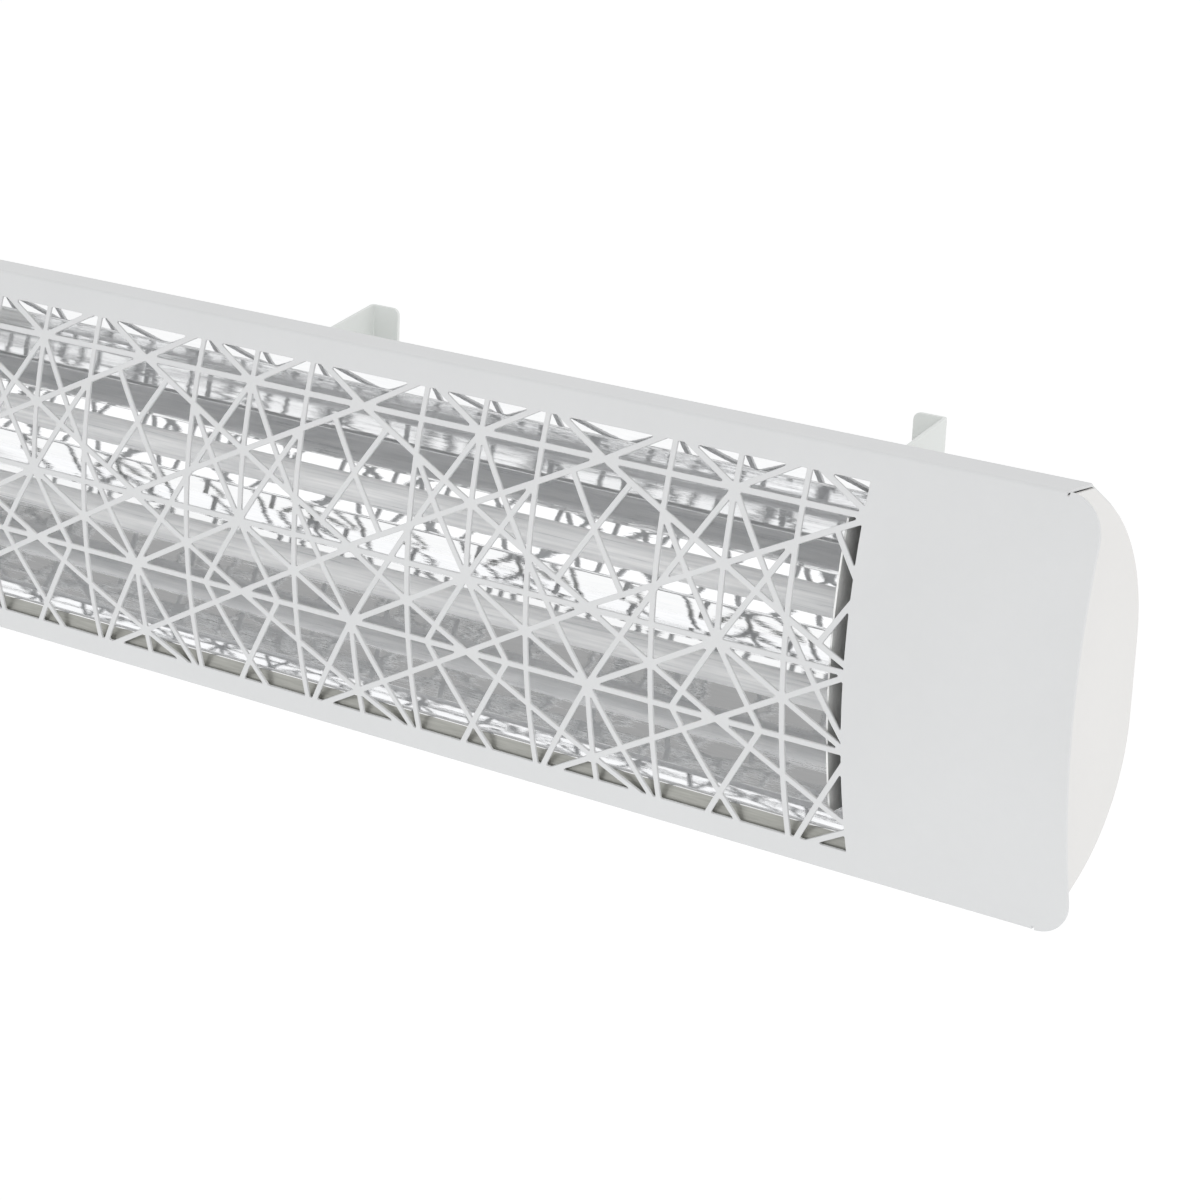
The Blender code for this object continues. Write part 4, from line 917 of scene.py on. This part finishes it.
bracket = {
    "spacing": 0.3455, "sheet": 0.0020, "plateWidth": 0.019, "top": 0.0995, "bottom": -0.046,
    "cornerRadius": 0.004, "bendRadius": 0.0026, "slotRadius": 0.0026, "slotLength": 0.012,
    "slotHeight": 0.070, "lowHole": -0.018, "topSlope": 0.22, "noseDepth": 0.052, "clearance": 0.0025, "pivotDepth": 0.0905,
    "pivotHeight": -0.034, "bossRadius": 0.0070, "holeRadius": 0.0033, "chamfer": 0.00025,
}
ear = {
    "sheet": 0.0020, "footWidth": 0.016, "footHalfHeight": 0.018, "cornerRadius": 0.003, "bendRadius": 0.0024,
    "chamfer": 0.00022,
}
pivot = Vector((0, yAt(bracket["pivotDepth"]), bracket["pivotHeight"]))
bracketPlaces = (("left", -bracket["spacing"], -1), ("centre", 0.0, -1), ("right", bracket["spacing"], 1))


def circleLoop(across, up, radius, steps=20):
    return arcPoints(across, up, radius, 0, 2 * pi, steps)[:-1]


def footCorners(top, bottom, corner, steps):
    # the two rounded corners of a foot's free edge, (along the axis, in from the edge)
    return arcPoints(top - corner, corner, corner, 0, -pi / 2, steps) + \
        arcPoints(bottom + corner, corner, corner, -pi / 2, -pi, steps)


def bendProfile(name, straight, radius, run):
    # straight, a quarter turn and a run, in (y, z); begins at z 0 going up
    bendStart = straight - radius
    points = [(0, 0)] + arcPoints(radius, bendStart, radius, pi, pi / 2, 8) + [(run, straight)]
    return profileCurve(name, points), bendStart, bendStart + radius * pi / 2


def bentPart(name, loops, straight, radius, run, sheet, chamfer, place, material):
    # pattern loops are (axis, along); place maps (axis, inwards, along the first leg) to the frame
    profile, bendStart, bendEnd = bendProfile(name + "Profile", straight, radius, run)
    levels = [bendStart + (bendEnd - bendStart) * step / 6 for step in range(7)]
    lines = [((-0.2, level), (0.2, level)) for level in levels]
    obj = flatPattern(name, loops, lines, chamfer)
    runTree(obj, bendSheet, {"Profile": profile, "Half run": 0.0, "Plain profile": profile,
                             "Plain half run": 0.0, "Tab edge": 10.0, "Sheet": sheet, "Chamfer": chamfer,
                             "Material": material})
    obj = bakeShape(obj, place)
    bpy.data.objects.remove(profile)
    return obj


def webLine():
    # free edge of a bracket's web as (distance from the wall, z), from the top round to the bottom
    def heightAt(depth):
        line = casingHalf(-bracket["clearance"])
        for near, far in zip(line, line[1:]):
            if near.x <= depth <= far.x:
                return near.y + (far.y - near.y) * (depth - near.x) / (far.x - near.x)

    nose = bracket["noseDepth"]
    noseTop = bracket["top"] - bracket["topSlope"] * (wallDepth - nose)
    start = heightAt(nose)
    points = [(nose, max(noseTop, start + 0.001)), (nose, start)]
    points += [(p.x, p.y) for p in casingHalf(-bracket["clearance"]) if p.x > nose + 0.001][::2]
    depth, up, radius = bracket["pivotDepth"], bracket["pivotHeight"], bracket["bossRadius"]
    points += [(depth - radius, up + 0.010)] + arcPoints(depth, up, radius, pi, 1.5 * pi, 12)
    return [(wallDepth - depth, up) for depth, up in points]


def makeBracket(label, centre, side):
    width, radius, hole = bracket["plateWidth"], bracket["bendRadius"], bracket["slotRadius"]
    bendEnd = width - radius + radius * pi / 2
    top, bottom, pivotHeight = bracket["top"], bracket["bottom"], bracket["pivotHeight"]
    outline = footCorners(top, bottom, bracket["cornerRadius"], 6)
    outline += [(bottom, width - radius - 0.0005), (pivotHeight - bracket["bossRadius"], bendEnd - 0.0006)]
    outline += [(up, bendEnd + away - radius) for away, up in reversed(webLine())]
    outline.append((top, bendEnd + 0.0002))
    middle, reach = (width - bracket["sheet"]) / 2, bracket["slotLength"] / 2
    slot = arcPoints(bracket["slotHeight"] + reach, middle, hole, pi / 2, -pi / 2, 8) + \
        arcPoints(bracket["slotHeight"] - reach, middle, hole, -pi / 2, -1.5 * pi, 8)
    pivotAlong = bendEnd + (wallDepth - bracket["pivotDepth"]) - radius
    loops = [outline, slot, circleLoop(bracket["lowHole"], middle, hole),
             circleLoop(pivotHeight, pivotAlong, bracket["holeRadius"])]
    # axis -> Z, inwards from the wall -> -Y, along the plate -> towards the web
    place = Matrix(((0, 0, side, centre - side * width / 2), (0, -1, 0, 0), (1, 0, 0, 0), (0, 0, 0, 1)))
    obj = bentPart("wallBracket" + label.title(), loops, width, radius, wallDepth, bracket["sheet"],
                   bracket["chamfer"], place, bracketWhite)
    finishPiece(obj, None, "wall_brackets", ["wall_bracket_" + label], 28)


def webX(centre, side):
    return centre + side * (bracket["plateWidth"] - bracket["sheet"]) / 2


def earX(centre, side):
    return webX(centre, side) + side * (bracket["sheet"] / 2 + gap + ear["sheet"] / 2)


def makeEar(label, centre, side):
    # first leg: the foot on the casing's back, from its far edge towards the web; second leg: the lug
    width, radius, halfTall = ear["footWidth"], ear["bendRadius"], ear["footHalfHeight"]
    inner = earX(centre, side) - side * ear["sheet"] / 2        # the lug's face beside the web
    bendEnd = width - radius + radius * pi / 2
    footFront = yAt(casing["depth"] + gap)
    pivotAlong = bendEnd + (pivot.y - footFront) - radius
    pivotHeight, boss = bracket["pivotHeight"], bracket["bossRadius"]
    outline = footCorners(halfTall, -halfTall, ear["cornerRadius"], 4)
    outline += [(-halfTall, width - radius - 0.0005), (pivotHeight + boss * 0.8, bendEnd + 0.0004)]
    outline += arcPoints(pivotHeight, pivotAlong, boss, pi + 0.65, -0.25, 16)
    outline.append((halfTall, bendEnd + 0.0004))
    loops = [outline, circleLoop(pivotHeight, pivotAlong, bracket["holeRadius"])]
    place = Matrix(((0, 0, -side, inner + side * width), (0, 1, 0, footFront), (1, 0, 0, 0), (0, 0, 0, 1)))
    obj = bentPart("hangerEar" + label.title(), loops, width, radius, 0.03, ear["sheet"], ear["chamfer"],
                   place, casingWhite)
    finishPiece(obj, None, "heater", ["hanger_ear_" + label], 28)


for label, centre, side in bracketPlaces:
    makeBracket(label, centre, side)
print("brackets made")


# ---------- fasteners, copied to their places ----------

def makeFastenerSet():
    tree, put = geometryTree("fastenerSet", [
        ("Fastener", 'Object', None), ("Turn", 'Vector', (0, 0, 0)), ("Spin", 'Float', 0.0),
        ("Seed", 'Int', 1)])
    source = addNode(tree, 'GeometryNodeObjectInfo', Object=put["Fastener"])
    # each one is left at its own angle, as by hand
    chance = addNode(tree, 'FunctionNodeRandomValue', {"data_type": 'FLOAT'}, Max=put["Spin"],
                     Seed=put["Seed"])
    spin = addNode(tree, 'ShaderNodeCombineXYZ', Z=liveOutput(chance))
    copies = addNode(tree, 'GeometryNodeInstanceOnPoints', Points=put["Geometry"],
                     Instance=source.outputs["Geometry"], Rotation=put["Turn"])
    spun = addNode(tree, 'GeometryNodeRotateInstances', Instances=copies.outputs[0], Rotation=spin.outputs[0])
    return endTree(tree, put, spun.outputs[0])


fastenerSet = makeFastenerSet()


def setFasteners(name, fastener, places, direction, body, replaced, spin, seed):
    obj = newObject(name, meshFrom(name, places, []))
    runTree(obj, fastenerSet, {"Fastener": fastener, "Turn": facing[direction].to_euler(), "Spin": spin,
                               "Seed": seed, "Material": zincPlate})
    finishPiece(bakeShape(obj), None, body, replaced, 35)


fixings = {
    "screwRadius": 0.0016, "screwHead": 0.0032, "screwHeadTall": 0.0018, "screwLength": 0.006,
    "crossCut": (0.0036, 0.0006, 0.0016), "capScrewSpacing": 0.012,
    "frontScrewPlaces": (-0.40, -0.14, 0.14, 0.40), "frontScrewDepth": 0.014,
    "rivetRadius": 0.0020, "rivetHead": 0.0038, "rivetHeadTall": 0.0012, "rivetSpacing": 0.011,
    "boltRadius": 0.0030, "boltHead": 0.0055, "boltHeadTall": 0.0040, "nutTall": 0.0050,
    "washerRadius": 0.0062, "washerTall": 0.0012, "washerEdge": 0.0002,
}


def panScrew():
    head, tall, shank = fixings["screwHead"], fixings["screwHeadTall"], fixings["screwRadius"]
    profile = [(0, tall), (head * 0.35, tall * 0.98), (head * 0.7, tall * 0.82), (head * 0.93, tall * 0.5),
               (head, tall * 0.15), (head, 0), (shank, 0)]
    for turn in range(7):       # thread
        low = -0.0006 - turn * 0.0007
        profile += [(shank, low), (shank * 0.8, low - 0.00035)]
    profile += [(shank * 0.5, -fixings["screwLength"]), (0, -fixings["screwLength"])]
    obj = turned("panScrew", profile, 24)
    for angle in (0.0, pi / 2):
        bar = boxObject("crossCut", *fixings["crossCut"])
        bar.location.z = tall + 0.0002
        bar.rotation_euler.z = angle
        cutWith(obj, bar)
    return bakeShape(obj)


def blindRivet():
    head, tall, shank = fixings["rivetHead"], fixings["rivetHeadTall"], fixings["rivetRadius"]
    grip = ear["sheet"] + casing["sheet"] + 4 * gap
    profile = [(0, tall * 0.45), (0.0009, tall * 0.45), (0.0010, tall), (head * 0.6, tall * 0.92),
               (head * 0.92, tall * 0.5), (head, 0.0001), (head, 0), (shank, 0), (shank, -grip), (0, -grip)]
    return bakeShape(turned("blindRivet", profile, 28))


def joinMeshes(name, objects):
    shape = bmesh.new()
    for obj in objects:
        shape.from_mesh(obj.data)
        bpy.data.objects.remove(obj)
    return objectOfShape(name, shape)


def hexBolt():
    # head at 0 and below, shank up along +Z
    grip = bracket["sheet"] + ear["sheet"] + fixings["washerTall"] + fixings["nutTall"] + 4 * gap + 0.0015
    radius = fixings["boltRadius"]
    profile = [(0, grip), (radius - 0.0005, grip), (radius, grip - 0.0005)]
    low = grip - 0.0012
    while low > grip * 0.45:
        profile += [(radius, low), (radius - 0.00035, low - 0.0004)]
        low -= 0.0008
    profile += [(radius, grip * 0.42), (radius, -0.001), (0, -0.001)]
    shank = bakeShape(turned("boltShank", profile, 28))
    head = prism("boltHead", fixings["boltHead"], fixings["boltHeadTall"], 6, 0.0004)
    head.location.z = -fixings["boltHeadTall"] - gap
    return joinMeshes("hexBolt", [shank, bakeShape(head)])


def hexNut():
    nut = prism("hexNut", fixings["boltHead"], fixings["nutTall"], 6, 0.0004)
    bore = prism("nutBore", fixings["boltRadius"] + 0.0001, 0.02, 28)
    bore.location.z = -0.01
    cutWith(nut, bore)
    return bakeShape(nut)


def flatWasher():
    inner, outer, tall = fixings["boltRadius"] + gap, fixings["washerRadius"], fixings["washerTall"]
    edge = fixings["washerEdge"]
    profile = [(inner, tall), (outer - edge, tall), (outer, tall - edge), (outer, edge), (outer - edge, 0),
               (inner, 0)]
    return bakeShape(turned("flatWasher", profile, 36, True))


def makeFixings():
    screw, rivet, bolt, nut, washer = panScrew(), blindRivet(), hexBolt(), hexNut(), flatWasher()
    capScrewX = capX - casing["capSheet"] - casing["capRim"] * 0.55
    pairs = [(level, up, label, side) for label, side in leftRight for level, up in upperLower]
    setFasteners("capScrews", screw,
                 [(side * capScrewX, yAt(casing["depth"]) + gap, up * fixings["capScrewSpacing"])
                  for level, up, label, side in pairs], "+Y", "heater",
                 ["cap_screw_" + level + "_" + label for level, up, label, side in pairs], 1.4, 3)
    lowZ = -halfHeight + front["flangeDrop"] * fixings["frontScrewDepth"] / front["flangeDepth"] - 2 * gap
    spots = [(x, yAt(fixings["frontScrewDepth"]), lowZ) for x in fixings["frontScrewPlaces"]]
    setFasteners("frontScrews", screw, spots, "-Z", "heater",
                 ["fascia_screw_" + str(number + 1) for number in range(len(spots))], 1.4, 5)
    spots, names = [], []
    rivetY = yAt(casing["depth"] + ear["sheet"] + gap) + gap
    for label, centre, side in bracketPlaces:
        rivetX = earX(centre, side) + side * (ear["footWidth"] / 2 + ear["sheet"] / 4)
        for level, up in upperLower:
            spots.append((rivetX, rivetY, up * fixings["rivetSpacing"]))
            names.append("ear_rivet_" + level + "_" + label)
    setFasteners("earRivets", rivet, spots, "+Y", "heater", names, 0.5, 7)
    for group, direction, wanted in (("Left", "-X", -1), ("Right", "+X", 1)):
        chosen = [place for place in bracketPlaces if place[2] == wanted]
        boltX = [webX(centre, side) - side * (bracket["sheet"] / 2) for _, centre, side in chosen]
        washerX = [earX(centre, side) + side * (ear["sheet"] / 2 + gap) for _, centre, side in chosen]
        nutX = [x + wanted * (fixings["washerTall"] + gap) for x in washerX]
        for kind, fastener, column, seed in (("bolt", bolt, boltX, 11), ("washer", washer, washerX, 13),
                                             ("nut", nut, nutX, 17)):
            spots = [(x, pivot.y, pivot.z) for x in column]
            names = ["pivot_" + kind + "_" + place[0] for place in chosen]
            setFasteners("pivot" + kind.title() + "s" + group, fastener, spots, direction, "wall_brackets",
                         names, 1.0, seed)
    for item in (screw, rivet, bolt, nut, washer):
        bpy.data.objects.remove(item)


for label, centre, side in bracketPlaces:
    makeEar(label, centre, side)
makeFixings()
print("ears and fasteners made")


# ---------- wiring end ----------

wiring = {
    "terminalSize": (0.020, 0.018, 0.046), "terminalFromEnd": 0.044, "terminalPitch": 0.0145,
    "wellRadius": 0.0026, "wellSpacing": 0.011, "leadRadius": 0.0013, "entryHeight": 0.0155,
    "glandFromEnd": 0.067, "glandRadius": 0.0080, "glandThread": 0.0060, "glandBore": 0.0040,
    "glandLength": 0.011, "glandNut": 0.003, "gripRibs": 12,
}


def smoothRoute(points, steps=6):
    route = [Vector(point) for point in points]
    padded = [route[0]] + route + [route[-1]]
    fine = []
    for a, b, c, d in zip(padded, padded[1:], padded[2:], padded[3:]):
        for step in range(steps):
            t = step / steps
            curved = (2 * a - 5 * b + 4 * c - d) * t ** 2 + (3 * b - a - 3 * c + d) * t ** 3
            fine.append(0.5 * (2 * b + (c - a) * t + curved))
    return fine + [route[-1]]


def makeLead(name, points, node):
    curve = bpy.data.curves.new(name, 'CURVE')
    curve.dimensions = '3D'
    curve.bevel_depth = wiring["leadRadius"]
    curve.bevel_resolution = 4
    curve.use_fill_caps = True
    fine = smoothRoute(points)
    spline = curve.splines.new('POLY')
    spline.points.add(len(fine) - 1)
    for point, place in zip(spline.points, fine):
        point.co = (*place, 1)
    finishPiece(bakeShape(newObject(name, curve)), wovenSleeve, "heater", [node], 60)


def makeTerminals():
    sizeX, sizeY, sizeZ = wiring["terminalSize"]
    backY = yAt(casing["depth"] - casing["sheet"] - gap)
    centre = Vector((halfLength - wiring["terminalFromEnd"], backY - sizeY / 2, 0))
    block = boxObject("terminalBlock", sizeX, sizeY, sizeZ)
    block.location = centre
    pitch = wiring["terminalPitch"]
    for row in (-1, 0, 1):
        for side in (-1, 1):
            well = prism("screwWell", wiring["wellRadius"], 0.008, 20)
            place = centre + Vector((side * wiring["wellSpacing"] / 2, -sizeY / 2 + 0.005, row * pitch))
            well.matrix_world = Matrix.Translation(place) @ facing["-Y"]
            cutWith(block, well)
    for side in (-1, 1):
        groove = boxObject("groove", 0.03, 0.008, 0.0014)
        groove.location = centre + Vector((0, -sizeY / 2, side * pitch / 2))
        cutWith(block, groove)
    bevelEdges(block, 0.0003, 2, 50)
    finishPiece(bakeShape(block), blackPlastic, "heater", ["terminal_block"], 35)
    return centre


def makeGland():
    x, baseY = halfLength - wiring["glandFromEnd"], yAt(casing["depth"]) + gap
    radius, bore, length = wiring["glandRadius"], wiring["glandBore"], wiring["glandLength"]
    inside = casing["sheet"] + wiring["glandNut"] + 3 * gap
    thread, ribs = wiring["glandThread"], wiring["gripRibs"]
    capNut = [(0.66, 1), (0.75, 0.93), (0.80, 0.74), (0.94, 0.68), (0.94, 0.40), (0.80, 0.38), (0.80, 0.28),
              (1, 0.26), (1, 0)]
    profile = [(bore, length)] + [(radius * wide, length * tall) for wide, tall in capNut]
    profile += [(thread, 0), (thread, -inside), (bore, -inside)]
    body = turned("cableGland", profile, 48, True)
    body.matrix_world = Matrix.Translation((x, baseY, 0)) @ facing["+Y"]
    parts = [bakeShape(body)]
    for step in range(ribs):      # grip ribs round the cap nut
        angle = 2 * pi * step / ribs
        out = radius * 0.92
        rib = boxObject("gripRib", 0.0012, length * 0.26, 0.0012)
        place = (x + out * cos(angle), baseY + length * 0.54, out * sin(angle))
        rib.matrix_world = Matrix.Translation(place) @ Matrix.Rotation(-angle, 4, 'Y')
        parts.append(bakeShape(rib))
    finishPiece(joinMeshes("cableGland", parts), blackPlastic, "heater", ["cable_gland"], 35)


def makeWiring():
    block = makeTerminals()
    makeGland()
    tubeY, start = yAt(tube["depth"]), tubeEndX - tube["socket"] + tube["ceramicLength"] + 2 * gap
    entryX = block.x - wiring["terminalSize"][0] / 2 - gap
    way = entryX - start
    for level, up in upperLower:
        z, entryZ = up * tube["spacing"], up * wiring["entryHeight"]
        makeLead("lead" + level.title(), [
            (start, tubeY, z), (start + way * 0.25, tubeY + 0.004, z),
            (start + way * 0.45, tubeY + 0.020, z * 0.95), (start + way * 0.65, block.y - 0.012, z * 0.8),
            (start + way * 0.85, block.y - 0.001, entryZ), (entryX, block.y, entryZ)], "lead_" + level)
    bend, z = 0.018, tube["spacing"]
    # the link goes out and down between the tubes at the left end
    upperHalf = [(-start, tubeY, z), (-start - bend * 0.7, tubeY + 0.003, z * 0.9),
                 (-start - bend, tubeY + 0.006, z * 0.35)]
    makeLead("leadLink", upperHalf + [(x, y, -z) for x, y, z in reversed(upperHalf)], "lead_link")


makeWiring()
print("wiring made")


# ---------- CAD pieces that keep their shape ----------

# painted light: the bulkheads and ceramic holders get the brightened steel, lighter than their own grey
keptFinish = {"bulkhead_left": greySteel, "bulkhead_right": greySteel, "ceramic_holder_left": greySteel,
              "ceramic_holder_right": greySteel, "gland_nut": blackPlastic, "earth_stud": zincPlate}
for node, material in keptFinish.items():
    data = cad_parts[node].data
    data.materials.clear()
    data.materials.append(material)
print("finishes put on the CAD pieces")


# ---------- floor, light and camera ----------

studio = {
    "floorHeight": -1.1, "floorGlow": 0.30, "worldLight": 0.92, "dimTowards": (-0.56, -0.35, 0.745),
    "dimEdge": 0.92, "dimCore": 0.985, "dimLight": 0.40, "cameraPlace": (1.1440, -1.3745, 0.4679),
    "azimuth": 35.84, "elevation": 16.54, "roll": 2.44, "lens": 100.1,
    "keySoftbox": ((2.2, -1.6, 1.2), (0.1, 0, 0), (1.6, 1.6), 10, (1.0, 0.985, 0.96)),
    "fillSoftbox": ((-1.6, -2.4, 0.6), (-0.1, 0, 0), (1.8, 1.4), 2, (0.97, 0.985, 1.0)),
}


def makeFloor():
    size = 30.0
    corners = [(-size, -size, 0), (size, -size, 0), (size, size, 0), (-size, size, 0)]
    floor = newObject("floor", meshFrom("floor", corners, [(0, 1, 2, 3)]))
    floor.location.z = studio["floorHeight"]
    made, _, _ = newMaterial("paleFloor", Roughness=0.9, Base_Color=(0.80, 0.805, 0.805, 1),
                             Emission_Color=(1, 1, 1, 1), Emission_Strength=studio["floorGlow"])
    floor.data.materials.append(made)


def makeWorld():
    # even light from all round, with one dim patch overhead for the mirror to pick up
    world = bpy.data.worlds.new("studioWorld")
    bpy.context.scene.world = world
    world.use_nodes = True
    tree = world.node_tree
    back = tree.nodes["Background"]
    back.inputs["Color"].default_value = (1, 1, 1, 1)
    way = addNode(tree, 'ShaderNodeTexCoord').outputs["Generated"]
    towards = Vector(studio["dimTowards"]).normalized()
    near = addNode(tree, 'ShaderNodeVectorMath', {"operation": 'DOT_PRODUCT'}, n0=way, n1=towards)
    patch = addNode(tree, 'ShaderNodeMapRange', {"interpolation_type": 'SMOOTHSTEP'},
                    Value=near.outputs["Value"], From_Min=studio["dimEdge"], From_Max=studio["dimCore"],
                    To_Min=studio["worldLight"], To_Max=studio["dimLight"])
    # looked at directly, the world is the same plain white as the floor
    sight = addNode(tree, 'ShaderNodeLightPath').outputs["Is Camera Ray"]
    shown = addNode(tree, 'ShaderNodeMapRange', Value=sight, To_Min=patch.outputs[0], To_Max=1.0)
    tree.links.new(shown.outputs[0], back.inputs["Strength"])


def areaLight(name, place, target, size, power, colour):
    data = bpy.data.lights.new(name, 'AREA')
    data.shape = 'RECTANGLE'
    data.size, data.size_y = size
    data.energy = power
    data.color = colour
    light = newObject(name, data)
    light.location = place
    light.rotation_euler = (Vector(target) - Vector(place)).to_track_quat('-Z', 'Y').to_euler()


def makeCamera():
    a, e, roll = (radians(studio[key]) for key in ("azimuth", "elevation", "roll"))
    back = Vector((sin(a) * cos(e), -cos(a) * cos(e), sin(e)))
    right = Vector((cos(a), sin(a), 0))
    up = back.cross(right)
    rolledRight = right * cos(roll) + up * sin(roll)
    rolledUp = up * cos(roll) - right * sin(roll)
    data = bpy.data.cameras.new("camera")
    data.lens = studio["lens"]
    data.sensor_width = 36
    data.clip_end = 100
    camera = newObject("camera", data)
    turn = Matrix((rolledRight, rolledUp, back)).transposed().to_4x4()
    camera.matrix_world = Matrix.Translation(studio["cameraPlace"]) @ turn
    bpy.context.scene.camera = camera


makeFloor()
makeWorld()
for softbox in ("keySoftbox", "fillSoftbox"):
    areaLight(softbox, *studio[softbox])
makeCamera()
bpy.context.scene.view_settings.view_transform = 'Standard'
print("studio made")
